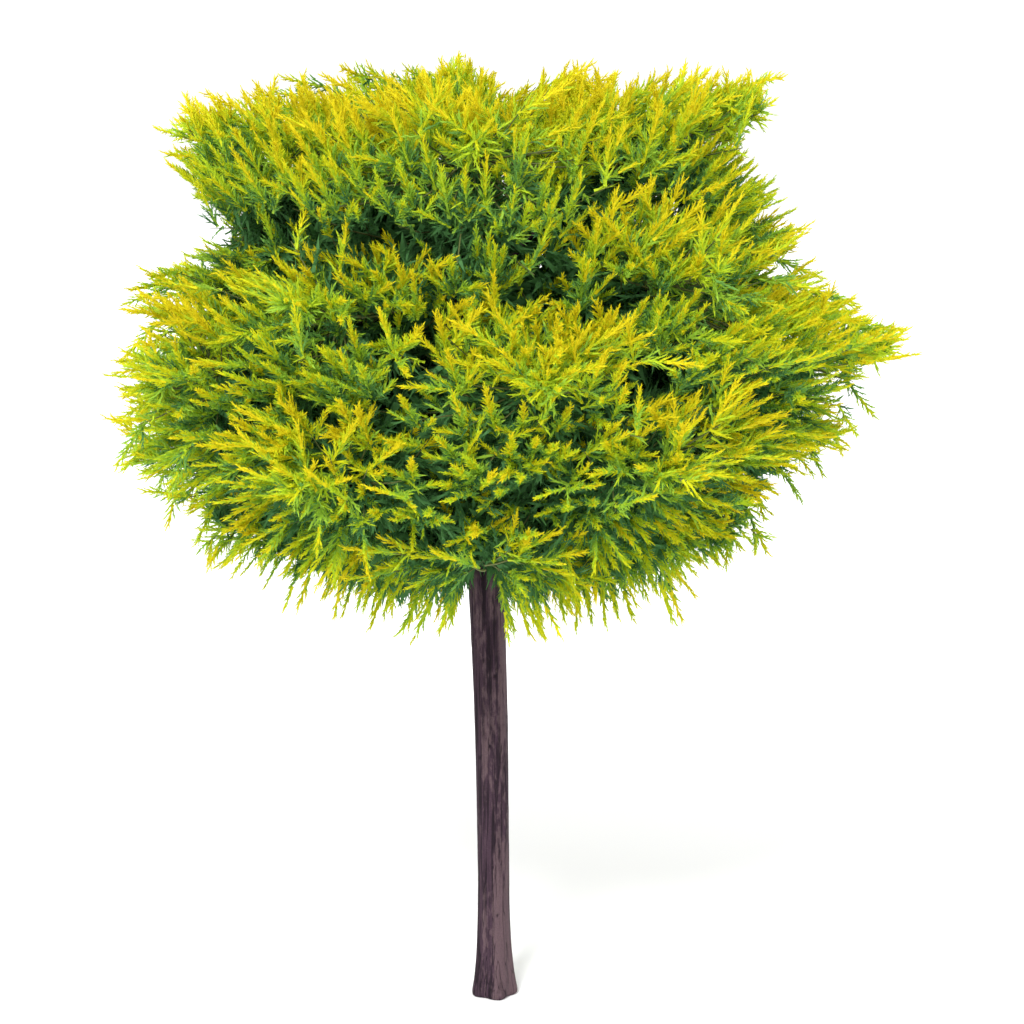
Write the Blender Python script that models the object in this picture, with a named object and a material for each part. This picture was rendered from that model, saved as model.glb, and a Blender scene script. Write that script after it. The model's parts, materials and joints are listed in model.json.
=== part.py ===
"""A golden Chinese juniper grown as a half standard: a clear stem with a flared foot, a leader that runs
on up through the crown, and tiers of arching boughs that each carry a plume of feathery foliage.

Metres, +Z up. The origin is the middle of the flat cut at ground level. The viewer of the photograph
stands at -Y, with +X on the right. Turns are in radians, but where a comment says degrees."""

import math
import random
from collections import namedtuple

import bmesh
import bpy
from mathutils import Vector

# The air between touching pieces, and the way up
GAP = 0.0003
UP = Vector((0.0, 0.0, 1.0))

# The trunk: a clear stem up to the graft, and a leader above it
GRAFT_HEIGHT = 0.74
LEADER_HEIGHT = 1.385
STEM_RADIUS = 0.0262
GRAFT_SWELLING = 0.0048
LEADER_TIP_RADIUS = 0.0035
LEADER_TAPER_POWER = 0.85
FLARE = 0.0138
FLARE_HEIGHT = 0.075
FLARE_LOBES = 5
FLARE_LOBE_SHARE = 0.10
FLARE_LOBE_TURN = 0.6
LEAN = 0.048
LEAN_HEIGHT = 1.25
LEAN_POWER = 2.58
SWAY = 0.008
TRUNK_SIDES = 16
STEM_HEIGHTS = (0.0, 0.012, 0.035, 0.07, 0.12, 0.20, 0.32, 0.45)
CROWN_HEIGHTS = (0.57, 0.66, GRAFT_HEIGHT, 0.82, 0.92, 1.02, 1.12, 1.22, 1.31, LEADER_HEIGHT)
TRUNK_HEIGHTS = STEM_HEIGHTS + CROWN_HEIGHTS

# The boughs. Shares are of a limb, from the trunk's middle to the furthest tip of its foliage.
BOUGH_SIDES = 5
BOUGH_RINGS = 5
BOUGH_TAPER = 0.48
BARE_SHARE = 0.27
SPRING_SPAN = 0.075
BEND_REACH_SHARE = 0.48
BEND_CLIMB_SHARE = 0.5
BEND_TURN_VARIATION = 0.14
REACH_VARIATION = 0.03
TIP_VARIATION = 0.02

# The space that each mass keeps to
CELL_GAP = 0.004
LIMB_MARGIN = 0.004
SEED = 42

# The stem of a mass, and the twigs that leave it. Rises, spread and closing are in degrees.
STEM_END = 0.84
STEM_RINGS = 4
STEM_NARROWING = 0.65
TWIGS = 5
TWIG_RADIUS = 0.0035
TWIG_SHARES = (0.04, 0.84)
TWIG_RISE = 40
UPRIGHT_RISES = (80, 80, -60)
TWIG_SPREAD = 70
TWIG_CLOSING = 34
TWIG_INTO_SPRAY = 0.15
STEM_INTO_SPRAY = 0.02

# The sprays. A toothed outline has its corners as (share of the length, share of the half width).
SPRAY_LENGTH = 0.20
SPRAY_LENGTH_VARIATION = 0.15
SPRAY_SPAN_SHARE = 0.75
SPRAY_BEYOND_TWIG = 0.9
SPRAY_HALF_WIDTH = 0.26
SPRAY_HALF_THICKNESS = 0.055
SPRAY_APEX = 0.30
SPRAY_TILT = 0.3
SPRAY_LEVELLING = 0.3
TIP_TILTS = (0.0, 0.2, -0.2)
FAN_TRIES = (1.25, 1.1, 0.95, 0.8, 0.65, 0.5)
END_OUTLINE = ((0.52, 1.0), (0.44, 0.30), (0.80, 0.60), (0.66, 0.17))
SIDE_OUTLINE = ((0.60, 1.0), (0.52, 0.26))
# The sprays of a twig: the turn away from it, how far back they are rooted, their size and their outline
FAN_SPRAYS = (
    (0.0, 0.0, 1.0, END_OUTLINE),
    (0.75, 0.20, 0.85, SIDE_OUTLINE),
    (-0.75, 0.35, 0.85, SIDE_OUTLINE),
)

# The dense heart of a mass. Its corners stand at shares of the mass's own reach: teeth and valleys.
CORE_SIDES = 10
CORE_RINGS = (0.03, 0.15, 0.29, 0.43, 0.58, 0.73, 0.90)
CORE_VALLEY = 0.27
CORE_TOOTH = 0.66
CORE_TOOTH_LEAN = 0.13
CORE_TOOTH_TURN = 0.3
CORE_END = 0.16
CORE_LUMPS = 0.22
CORE_BORDER_SHARE = 0.3
CORE_BORDER_GAIN = 0.8
CORE_LEAST_REACH = 0.02
CORE_LIMB_MARGIN = 0.015
CORE_SHRINK = 0.9

# One row a tier, from the ground up. A first turn is in degrees, from +X towards +Y. The first tip height
# and reach are those on the right of the photograph, and the second those on its left.
TIER_FIELDS = "name count first_turn spring tips reaches front_lift arch radius half_width half_height"
Tier = namedtuple("Tier", TIER_FIELDS)
TIERS = (
    Tier("skirt", 5, 198, 0.765, (0.88, 0.88), (0.54, 0.55), -0.07, 0.08, 0.0115, 0.27, 0.120),
    Tier("lower", 6, 0, 0.860, (0.99, 0.96), (0.60, 0.63), 0.00, 0.07, 0.0110, 0.28, 0.140),
    Tier("middle", 5, -10, 0.950, (1.15, 1.11), (0.61, 0.67), 0.00, 0.06, 0.0100, 0.31, 0.150),
    Tier("upper", 5, 22, 1.040, (1.30, 1.24), (0.58, 0.62), 0.00, 0.06, 0.0088, 0.29, 0.150),
    Tier("top", 5, 198, 1.130, (1.52, 1.49), (0.48, 0.56), 0.00, 0.14, 0.0075, 0.27, 0.170),
)
# The long bough that stands out on the right of the middle tier
LONG_BOUGH = ("middle", 1)
LONG_BOUGH_MORE = 0.08
# The dome of foliage on the tip of the leader
DOME_TIP = Vector((-0.062, 0.0, 1.585))
DOME_HALF_WIDTH = 0.24

Limb = namedtuple("Limb", "name start bend end radius")
Mass = namedtuple("Mass", "name limb bare half_width half_height seed")


def trunk_centre(height):
    """The middle of the trunk at a height: it leans a little to the left, and more so above the graft."""
    lean = -LEAN * (height / LEAN_HEIGHT) ** LEAN_POWER
    sway = SWAY * math.sin(math.pi * height / LEADER_HEIGHT)
    return Vector((lean, sway, height))


def trunk_radius(height):
    if height > GRAFT_HEIGHT:
        up_leader = (height - GRAFT_HEIGHT) / (LEADER_HEIGHT - GRAFT_HEIGHT)
        below = STEM_RADIUS + GRAFT_SWELLING
        return below + (LEADER_TIP_RADIUS - below) * up_leader ** LEADER_TAPER_POWER
    flare = FLARE * math.exp(-height / FLARE_HEIGHT)
    swelling = GRAFT_SWELLING * (height / GRAFT_HEIGHT) ** 2
    return STEM_RADIUS + flare + swelling


def trunk_ring(height, more=0.0):
    """One ring of the trunk's corners. Root lobes show at the foot and fade out above the flare."""
    lobes = FLARE_LOBE_SHARE * math.exp(-height / FLARE_HEIGHT)
    ring = []
    for k in range(TRUNK_SIDES):
        turn = 2 * math.pi * k / TRUNK_SIDES
        radius = trunk_radius(height) * (1 + lobes * math.cos(FLARE_LOBES * turn + FLARE_LOBE_TURN)) + more
        ring.append(trunk_centre(height) + radius * Vector((math.cos(turn), math.sin(turn), 0.0)))
    return ring


def limb_point(limb, share):
    """A point on the limb's curve, which starts along start-bend and ends along bend-end."""
    rest = 1 - share
    return limb.start * rest * rest + limb.bend * 2 * rest * share + limb.end * share * share


def limb_frame(limb, share):
    """The limb's direction there, the direction to its side, and the one that lifts away from both."""
    forward = ((limb.bend - limb.start) * (1 - share) + (limb.end - limb.bend) * share).normalized()
    level = Vector((1.0, 0.0, 0.0)) if limb.name == "dome" else UP
    side = forward.cross(level).normalized()
    return forward, side, side.cross(forward)


def limb_radius(limb, share):
    return limb.radius * (1 + (BOUGH_TAPER - 1) * share / BARE_SHARE)


def tier_limbs(tier):
    """The limbs of one tier, from the trunk's middle to the furthest tips of their foliage."""
    chance = random.Random(SEED + len(tier.name))
    for k in range(tier.count):
        turn = math.radians(tier.first_turn + 360 * k / tier.count)
        on_right = (1 + math.cos(turn)) / 2
        to_front = (1 - math.sin(turn)) / 2
        reach = tier.reaches[1] + (tier.reaches[0] - tier.reaches[1]) * on_right
        reach += chance.uniform(-REACH_VARIATION, REACH_VARIATION) * abs(math.sin(turn))
        if (tier.name, k + 1) == LONG_BOUGH:
            reach += LONG_BOUGH_MORE
        tip = tier.tips[1] + (tier.tips[0] - tier.tips[1]) * on_right + tier.front_lift * to_front
        tip += chance.uniform(-TIP_VARIATION, TIP_VARIATION) * abs(math.sin(turn))
        spring = tier.spring + SPRING_SPAN * (2 * k % tier.count) / tier.count
        bend_turn = turn + chance.uniform(-BEND_TURN_VARIATION, BEND_TURN_VARIATION)
        away = Vector((math.cos(turn), math.sin(turn), 0.0))
        bend_away = Vector((math.cos(bend_turn), math.sin(bend_turn), 0.0))
        start = trunk_centre(spring)
        climb = (tip - spring) * BEND_CLIMB_SHARE + tier.arch
        bend = start + bend_away * reach * BEND_REACH_SHARE + UP * climb
        end = away * reach + UP * tip
        yield Limb(f"{tier.name}_{k + 1}", start, bend, end, tier.radius)


def all_masses():
    """Every mass of foliage with the limb that it grows on, in a fixed order."""
    masses = []
    for tier in TIERS:
        for limb in tier_limbs(tier):
            seed = SEED + 7 * len(masses)
            masses.append(Mass(limb.name, limb, BARE_SHARE, tier.half_width, tier.half_height, seed))
    foot = trunk_centre(LEADER_HEIGHT)
    leader = Limb("dome", foot, (foot + DOME_TIP) / 2, DOME_TIP, LEADER_TIP_RADIUS)
    masses.append(Mass("dome", leader, 0.0, DOME_HALF_WIDTH, DOME_HALF_WIDTH, SEED))
    return masses


def mass_axes(mass):
    """The middle of a mass, and its three half axes as (direction, half length)."""
    base = limb_point(mass.limb, mass.bare)
    tip = limb_point(mass.limb, 1.0)
    axis = (tip - base).normalized()
    side = limb_frame(mass.limb, 0.5)[1]
    side = (side - axis * side.dot(axis)).normalized()
    lift = side.cross(axis)
    half_length = (tip - base).length / 2
    axes = ((axis, half_length), (side, mass.half_width), (lift, mass.half_height))
    return (base + tip) / 2, axes


def half_extent(axes, normal):
    return math.sqrt(sum((normal.dot(direction) * half) ** 2 for direction, half in axes))


def pull(axes, away):
    """away turned towards the mass's thin directions, so that a border lies along its flat side."""
    return sum((direction * (away.dot(direction) / half ** 2) for direction, half in axes), Vector())


def borders_of(masses):
    """The planes that part the masses, as {name: [(outward normal, how far a point may go along it)]}."""
    shapes = {mass.name: mass_axes(mass) for mass in masses}
    borders = {mass.name: [] for mass in masses}
    for i, one in enumerate(masses):
        for other in masses[i + 1:]:
            (here, mine), (there, theirs) = shapes[one.name], shapes[other.name]
            normal = (pull(mine, there - here) + pull(theirs, there - here)).normalized()
            my_edge = here.dot(normal) + half_extent(mine, normal)
            their_edge = there.dot(normal) - half_extent(theirs, normal)
            middle = (my_edge + their_edge) / 2
            borders[one.name].append((normal, middle - CELL_GAP / 2))
            borders[other.name].append((-normal, -middle - CELL_GAP / 2))
    return borders


def bare_stretches(masses):
    """The trunk and the boughs as short straight stretches: (start, end, radius)."""
    stretches = []
    for low, high in zip(TRUNK_HEIGHTS, TRUNK_HEIGHTS[1:]):
        radius = max(trunk_radius(low), trunk_radius(high)) * (1 + FLARE_LOBE_SHARE)
        stretches.append((trunk_centre(low), trunk_centre(high), radius))
    for mass in masses:
        shares = [mass.bare * k / BOUGH_RINGS for k in range(BOUGH_RINGS + 1)]
        for near, far in zip(shares, shares[1:]):
            if mass.bare:
                radius = limb_radius(mass.limb, near)
                stretches.append((limb_point(mass.limb, near), limb_point(mass.limb, far), radius))
    return stretches


def room_to(stretch, point):
    """How far the point is from the bark of a stretch."""
    start, end, radius = stretch
    along = end - start
    share = min(max((point - start).dot(along) / along.length_squared, 0.0), 1.0)
    return (point - start - along * share).length - radius


def is_free(points, borders, stretches):
    """Whether all the points lie inside a mass's own space and off the bare limbs."""
    if any(point.dot(normal) > limit for point in points for normal, limit in borders):
        return False
    return all(room_to(stretch, point) > LIMB_MARGIN for stretch in stretches for point in points)


def room_ahead(mass, start, aim):
    """How far it is from start along aim to the edge of the mass's own egg shape."""
    middle, axes = mass_axes(mass)
    offset = [(start - middle).dot(direction) / half for direction, half in axes]
    step = [aim.dot(direction) / half for direction, half in axes]
    a = sum(value * value for value in step)
    b = sum(here * value for here, value in zip(offset, step))
    c = sum(value * value for value in offset) - 1.0
    return (math.sqrt(max(b * b - a * c, 0.0)) - b) / a


def stem_share(mass, share):
    return mass.bare + (1 - mass.bare) * share


def fan(root, aim, across, length, tilts):
    """A spray that ends a twig and one on each side of it, all in one plane but for a small tilt."""
    flat = aim.cross(across)
    sprays = []
    for k, (swing, back, share, outline) in enumerate(FAN_SPRAYS):
        way = (aim * math.cos(swing) + across * math.sin(swing) + flat * tilts[k] / 2).normalized()
        width = across * math.cos(swing) - aim * math.sin(swing) + flat * tilts[k]
        width = (width - way * width.dot(way)).normalized()
        sprays.append((root - aim * length * back, way, width, length * share, outline))
    return sprays


def grow(mass, seed, twigs):
    """The twigs that branch from a mass's stem, as (start, aim, across, reach, spray length, tilts). They
    leave by either side in turn and rise towards the light, wide at the stem's foot and close at its tip,
    and every third one stands up or hangs below."""
    chance = random.Random(seed)
    hand = chance.choice((-1, 1))
    for k in range(twigs):
        share = TWIG_SHARES[0] + (TWIG_SHARES[1] - TWIG_SHARES[0]) * (k + 0.5) / twigs
        rise = math.radians(chance.uniform(0, TWIG_RISE))
        if k % 3 == 1:
            rise = math.radians(chance.choice(UPRIGHT_RISES))
        hand = -hand
        forward, side, lift = limb_frame(mass.limb, stem_share(mass, share))
        outward = side * hand * math.cos(rise) + lift * math.sin(rise)
        spread = math.radians(TWIG_SPREAD - TWIG_CLOSING * share)
        aim = (forward * math.cos(spread) + outward * math.sin(spread)).normalized()
        start = limb_point(mass.limb, stem_share(mass, share))
        across = aim.cross(outward.cross(aim) + UP * SPRAY_LEVELLING).normalized()
        span = room_ahead(mass, start, aim)
        length = SPRAY_LENGTH * chance.uniform(1 - SPRAY_LENGTH_VARIATION, 1 + SPRAY_LENGTH_VARIATION)
        length = min(length, SPRAY_SPAN_SHARE * span)
        tilts = [chance.uniform(-SPRAY_TILT, SPRAY_TILT) for _ in FAN_SPRAYS]
        yield start, aim, across, span - length * SPRAY_BEYOND_TWIG, length, tilts


def tip_sprays(mass):
    """The sprays that end the stem: one straight on to the mass's furthest tip, and one on each side."""
    end = limb_point(mass.limb, stem_share(mass, STEM_END))
    side = limb_frame(mass.limb, stem_share(mass, STEM_END))[1]
    straight = limb_point(mass.limb, 1.0) - end
    aim = straight.normalized()
    width = (side - aim * side.dot(aim)).normalized()
    root = end - aim * STEM_INTO_SPRAY
    return fan(root, aim, width, straight.length + STEM_INTO_SPRAY, TIP_TILTS)


def spray_points(root, aim, width, length, teeth):
    """The corners of a spray: its toothed outline, from the root round by one side, and its two apexes."""
    across = width * length * SPRAY_HALF_WIDTH
    one_side = [root + aim * length * u + across * v for u, v in teeth]
    other_side = [root + aim * length * u - across * v for u, v in teeth]
    outline = [root, *one_side, root + aim * length, *reversed(other_side)]
    middle = root + aim * length * SPRAY_APEX
    thick = aim.cross(width) * length * SPRAY_HALF_THICKNESS
    return outline, (middle + thick, middle - thick)


def fitting(sprays, borders, stretches):
    """The sprays that keep to their mass's own space and off the limbs."""
    kept = []
    for spray in sprays:
        outline, apexes = spray_points(*spray)
        if is_free([*outline[1:], *apexes], borders, stretches):
            kept.append(spray)
    return kept


def twigs_and_sprays(mass, borders, stretches, seed, twigs):
    """The twigs, as (start, end), and the sprays that find room: a twig with no room is drawn in until its
    end spray fits, or is left out."""
    lines = []
    sprays = fitting(tip_sprays(mass), borders, stretches)
    for start, aim, across, reach, length, tilts in grow(mass, seed, twigs):
        for size in FAN_TRIES:
            end = start + aim * reach * size
            kept = fitting(fan(end, aim, across, length * size, tilts), borders, stretches)
            if len(kept) > 1:
                lines.append((start, end + aim * length * size * TWIG_INTO_SPRAY))
                sprays += kept
                break
    return lines, sprays


def mesh_object(name, points, faces, material):
    mesh = bpy.data.meshes.new(name)
    mesh.from_pydata([tuple(point) for point in points], [], faces)
    shape = bmesh.new()
    shape.from_mesh(mesh)
    bmesh.ops.recalc_face_normals(shape, faces=shape.faces)
    shape.to_mesh(mesh)
    shape.free()
    mesh.materials.append(material)
    made = bpy.data.objects.new(name, mesh)
    bpy.context.scene.collection.objects.link(made)
    return made


def loft(name, rings, material):
    """A closed tube through rings of corners, with a flat face at each end."""
    sides = len(rings[0])
    points = [point for ring in rings for point in ring]
    faces = [tuple(range(sides)), tuple(range(len(points) - sides, len(points)))]
    for low in range(0, len(points) - sides, sides):
        for k in range(sides):
            after = (k + 1) % sides
            faces.append((low + k, low + after, low + sides + after, low + sides + k))
    return mesh_object(name, points, faces, material)


def round_ring(centre, side, lift, radius, sides):
    turns = [2 * math.pi * k / sides for k in range(sides)]
    return [centre + (side * math.cos(turn) + lift * math.sin(turn)) * radius for turn in turns]


def straight_twig(name, start, end, radius, material):
    """A three-sided twig that tapers to half its thickness."""
    forward = (end - start).normalized()
    side = forward.cross(UP if abs(forward.z) < 0.9 else Vector((1.0, 0.0, 0.0))).normalized()
    lift = side.cross(forward)
    rings = [round_ring(start, side, lift, radius, 3), round_ring(end, side, lift, radius / 2, 3)]
    return loft(name, rings, material)


def make_material(name, colour, roughness):
    material = bpy.data.materials.new(name)
    material.use_nodes = True
    shader = material.node_tree.nodes["Principled BSDF"]
    shader.inputs["Base Color"].default_value = (*colour, 1.0)
    shader.inputs["Roughness"].default_value = roughness
    shader.inputs["Metallic"].default_value = 0.0
    return material


def make_trunk(bark):
    return loft("trunk", [trunk_ring(height) for height in TRUNK_HEIGHTS], bark)


def make_trunk_clearance(bark):
    """The cutter that seats each bough on the bark: the trunk, grown by the gap."""
    cutter = loft("trunk_clearance", [trunk_ring(height, GAP) for height in CROWN_HEIGHTS], bark)
    cutter.hide_render = True
    cutter.display_type = "WIRE"
    return cutter


def make_bough(mass, cutter, bark):
    """One tapering limb from the trunk to the foot of its foliage."""
    rings = []
    for k in range(BOUGH_RINGS):
        share = mass.bare * k / (BOUGH_RINGS - 1)
        _, side, lift = limb_frame(mass.limb, share)
        centre = limb_point(mass.limb, share)
        rings.append(round_ring(centre, side, lift, limb_radius(mass.limb, share), BOUGH_SIDES))
    bough = loft(f"bough_{mass.name}", rings, bark)
    bough.data.shade_smooth()
    seat = bough.modifiers.new("seat_on_trunk", "BOOLEAN")
    seat.operation = "DIFFERENCE"
    seat.solver = "EXACT"
    seat.object = cutter
    return bough


def make_spray(spray, green):
    outline, apexes = spray_points(*spray)
    count = len(outline)
    faces = [(k, (k + 1) % count, count + top) for k in range(count) for top in (0, 1)]
    return mesh_object("spray", [*outline, *apexes], faces, green)


def make_stem(mass, bark):
    """The stem inside a mass, from just off the tip of its bough."""
    rings = []
    foot_radius = limb_radius(mass.limb, mass.bare)
    for k in range(STEM_RINGS):
        along = STEM_END * k / (STEM_RINGS - 1)
        share = stem_share(mass, along)
        forward, side, lift = limb_frame(mass.limb, share)
        centre = limb_point(mass.limb, share)
        if k == 0:
            centre = centre + forward * GAP
        radius = foot_radius * (1 - STEM_NARROWING * along)
        rings.append(round_ring(centre, side, lift, radius, BOUGH_SIDES))
    return loft("stem", rings, bark)


def clears_limbs(point, stretches):
    return all(room_to(stretch, point) >= CORE_LIMB_MARGIN for stretch in stretches)


def core_reach(mass, borders, stretches, centre, way, share):
    """How far a corner of the heart stands from the stem: a share of the mass's reach that way, held
    inside the mass's own space and off the limbs."""
    size = share * room_ahead(mass, centre, way)
    for normal, limit in borders:
        climb = way.dot(normal)
        if climb > 0:
            to_border = (limit - centre.dot(normal)) / climb
            size = min(size, (CORE_BORDER_SHARE + CORE_BORDER_GAIN * share) * to_border)
    while size > CORE_LEAST_REACH and not clears_limbs(centre + way * size, stretches):
        size *= CORE_SHRINK
    return size


def core_rings(mass, borders, stretches):
    """The rings of the dense heart: teeth that lean forward stand out of it, between low valleys, and
    those of one ring lie between those of the next. It closes on a small plain ring at each end."""
    chance = random.Random(mass.seed + 2)
    rings = []
    for r, along in enumerate(CORE_RINGS):
        is_end = r in (0, len(CORE_RINGS) - 1)
        ring = []
        for k in range(CORE_SIDES):
            is_tooth = (k + r) % 2 == 1 and not is_end
            share = stem_share(mass, along + CORE_TOOTH_LEAN * is_tooth)
            centre = limb_point(mass.limb, share)
            _, side, lift = limb_frame(mass.limb, share)
            turn = 2 * math.pi * k / CORE_SIDES
            turn += CORE_TOOTH_TURN * chance.uniform(-1, 1) * is_tooth
            way = side * math.cos(turn) + lift * math.sin(turn)
            height = CORE_END if is_end else CORE_TOOTH if is_tooth else CORE_VALLEY
            height *= chance.uniform(1 - CORE_LUMPS, 1 + CORE_LUMPS)
            ring.append(centre + way * core_reach(mass, borders, stretches, centre, way, height))
        rings.append(ring)
    return rings


def keep_outer_skin(mesh):
    """Fills the pockets that the joined parts seal off, by keeping only the largest skin of faces."""
    shape = bmesh.new()
    shape.from_mesh(mesh)
    left = set(shape.faces)
    skins = []
    while left:
        skin = [left.pop()]
        for face in skin:
            near = {other for edge in face.edges for other in edge.link_faces} & left
            left -= near
            skin.extend(near)
        skins.append(skin)
    skins.sort(key=len)
    bmesh.ops.delete(shape, geom=[face for skin in skins[:-1] for face in skin], context="FACES")
    shape.to_mesh(mesh)
    shape.free()


def make_foliage(mass, borders, stretches, bark, green):
    """One mass of foliage as a single closed body: stem, twigs and sprays round a dense heart."""
    lines, sprays = twigs_and_sprays(mass, borders, stretches, mass.seed, TWIGS)
    kept = [straight_twig("twig", start, end, TWIG_RADIUS, bark) for start, end in lines]
    kept += [make_spray(spray, green) for spray in sprays]
    kept.append(make_stem(mass, bark))
    parts = bpy.data.collections.new("parts_of_mass")
    for part in kept:
        bpy.context.scene.collection.objects.unlink(part)
        parts.objects.link(part)
    heart = loft(f"foliage_{mass.name}", core_rings(mass, borders, stretches), green)
    join = heart.modifiers.new("join_parts", "BOOLEAN")
    join.operation = "UNION"
    join.operand_type = "COLLECTION"
    join.collection = parts
    join.solver = "EXACT"
    graph = bpy.context.evaluated_depsgraph_get()
    joined = bpy.data.meshes.new_from_object(heart.evaluated_get(graph))
    heart.modifiers.clear()
    heart.data = joined
    keep_outer_skin(joined)
    for part in kept:
        bpy.data.objects.remove(part)
    bpy.data.collections.remove(parts)
    return heart


def clear_scene():
    for old in list(bpy.data.objects):
        bpy.data.objects.remove(old)


def main():
    clear_scene()
    bark = make_material("bark", (0.085, 0.055, 0.060), 0.85)
    green = make_material("foliage", (0.42, 0.50, 0.05), 0.65)
    make_trunk(bark)
    cutter = make_trunk_clearance(bark)
    masses = all_masses()
    borders = borders_of(masses)
    stretches = bare_stretches(masses)
    for mass in masses:
        if mass.bare:
            make_bough(mass, cutter, bark)
        make_foliage(mass, borders[mass.name], stretches, bark, green)


main()
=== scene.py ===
# %% [markdown]
# # A golden Chinese juniper on a clear stem
#
# The real plant is a spreading juniper that was grafted on top of a straight stem, so a crown of arching
# boughs opens like a parasol over one bare trunk. Every bough carries feathery sprays, yellow at their tips
# and blue-green in their own shade. This lesson starts from a plain imported model of that plant, whose solids
# set every size, and grows bark, twigs and needles on the same limbs.
#
# The first cell loads the plain model.

# %% Load the plain model
import json
import math
import random
from collections import namedtuple

import bpy
import numpy as np
from mathutils import Matrix, Vector, noise

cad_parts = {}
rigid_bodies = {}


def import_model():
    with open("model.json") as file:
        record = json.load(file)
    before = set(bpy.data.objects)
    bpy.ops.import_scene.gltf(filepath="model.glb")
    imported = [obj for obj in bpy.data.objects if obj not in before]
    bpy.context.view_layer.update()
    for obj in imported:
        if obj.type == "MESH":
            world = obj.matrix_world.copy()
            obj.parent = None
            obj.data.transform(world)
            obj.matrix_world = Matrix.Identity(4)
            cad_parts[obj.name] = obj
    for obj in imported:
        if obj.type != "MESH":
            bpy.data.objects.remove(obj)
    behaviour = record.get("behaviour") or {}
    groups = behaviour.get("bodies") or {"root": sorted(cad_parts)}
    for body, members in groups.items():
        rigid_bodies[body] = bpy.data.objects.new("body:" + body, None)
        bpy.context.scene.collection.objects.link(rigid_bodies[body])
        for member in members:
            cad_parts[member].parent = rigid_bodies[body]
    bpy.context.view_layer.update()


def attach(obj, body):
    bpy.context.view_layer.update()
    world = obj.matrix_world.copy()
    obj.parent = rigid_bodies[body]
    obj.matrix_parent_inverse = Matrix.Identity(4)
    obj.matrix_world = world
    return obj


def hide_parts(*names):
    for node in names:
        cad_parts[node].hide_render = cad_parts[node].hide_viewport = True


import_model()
UP = Vector((0.0, 0.0, 1.0))

# %% [markdown]
# ## Camera, light and floor
#
# The photograph looks at the plant from the height of its crown, about three and a half metres away, with a
# moderately long lens. The floor and the world are nearly white, as a studio's are. One broad soft sun stands
# in for the daylight, from the front, well up and a little to the left, and the pale world fills the shade.

# %% Set up the studio
CAMERA_PLACE = Vector((0.031, -3.6, 1.5))
CAMERA_AIM = Vector((0.031, 0.0, 0.8545))
CAMERA_LENS = 76.4
SENSOR_WIDTH = 36.0
WORLD_STRENGTH = 1.2
SUN_STRENGTH = 2.75
SUN_ANGLE = math.radians(16)
SUN_FROM = Vector((-0.32, -0.95, 1.00))
FLOOR_HALF = 30.0
FLOOR_COLOUR = (0.92, 0.92, 0.92)
FLOOR_ROUGHNESS = 0.9
WHITE = (1.0, 1.0, 1.0, 1.0)


def link(thing):
    bpy.context.scene.collection.objects.link(thing)
    return thing


def look_along(direction):
    """The turn that points a camera or a sun along a direction."""
    return direction.to_track_quat("-Z", "Y").to_euler()


def plain_material(name, colour, roughness):
    material = bpy.data.materials.new(name)
    material.use_nodes = True
    shader = material.node_tree.nodes["Principled BSDF"]
    shader.inputs["Base Color"].default_value = (*colour, 1.0)
    shader.inputs["Roughness"].default_value = roughness
    return material


camera = link(bpy.data.objects.new("camera", bpy.data.cameras.new("camera")))
camera.location = CAMERA_PLACE
camera.rotation_euler = look_along(CAMERA_AIM - CAMERA_PLACE)
camera.data.lens = CAMERA_LENS
camera.data.sensor_width = SENSOR_WIDTH
bpy.context.scene.camera = camera

sun = link(bpy.data.objects.new("sun", bpy.data.lights.new("sun", "SUN")))
sun.data.energy = SUN_STRENGTH
sun.data.angle = SUN_ANGLE
sun.rotation_euler = look_along(-SUN_FROM)

world = bpy.data.worlds.new("studio")
world.use_nodes = True
sky = world.node_tree.nodes["Background"]
sky.inputs["Color"].default_value = WHITE
sky.inputs["Strength"].default_value = WORLD_STRENGTH
bpy.context.scene.world = world
bpy.context.scene.view_settings.view_transform = "Standard"

floor_mesh = bpy.data.meshes.new("floor")
floor_corners = [(-FLOOR_HALF, -FLOOR_HALF, 0), (FLOOR_HALF, -FLOOR_HALF, 0),
                 (FLOOR_HALF, FLOOR_HALF, 0), (-FLOOR_HALF, FLOOR_HALF, 0)]
floor_mesh.from_pydata(floor_corners, [], [(0, 1, 2, 3)])
floor_mesh.materials.append(plain_material("pale_floor", FLOOR_COLOUR, FLOOR_ROUGHNESS))
floor = link(bpy.data.objects.new("floor", floor_mesh))
print("studio ready: lens", CAMERA_LENS, "mm, sun", SUN_STRENGTH)

# %% [markdown]
# ## A small helper for node trees
#
# Materials and Geometry Nodes are both trees of nodes, and both need sums. Adding a Math node for each sum by
# hand hides the formula, so one small class wraps a socket and answers to +, -, * and /. Every other node
# comes from its one method, which sets a node's own settings first and then its sockets.

# %% The helper
class Wire:
    """An output of a node. Sums on it add Math nodes, and node() adds any other node to its tree."""

    def __init__(self, tree, socket=None):
        self.tree = tree
        self.socket = socket

    def node(self, kind, settings=None, values=None, out=0):
        made = self.tree.nodes.new(kind)
        for name, value in (settings or {}).items():
            if name == "stops":
                set_stops(made.color_ramp, value)
            else:
                setattr(made, name, value)
        for key, value in (values or {}).items():
            if isinstance(value, Wire):
                self.tree.links.new(value.socket, made.inputs[key])
            else:
                made.inputs[key].default_value = value
        return Wire(self.tree, made.outputs[out])

    def sum(self, operation, first, second):
        return self.node("ShaderNodeMath", {"operation": operation}, {0: first, 1: second})

    def __add__(self, other):
        return self.sum("ADD", self, other)

    def __sub__(self, other):
        return self.sum("SUBTRACT", self, other)

    def __rsub__(self, other):
        return self.sum("SUBTRACT", other, self)

    def __mul__(self, other):
        return self.sum("MULTIPLY", self, other)

    def __truediv__(self, other):
        return self.sum("DIVIDE", self, other)


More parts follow.
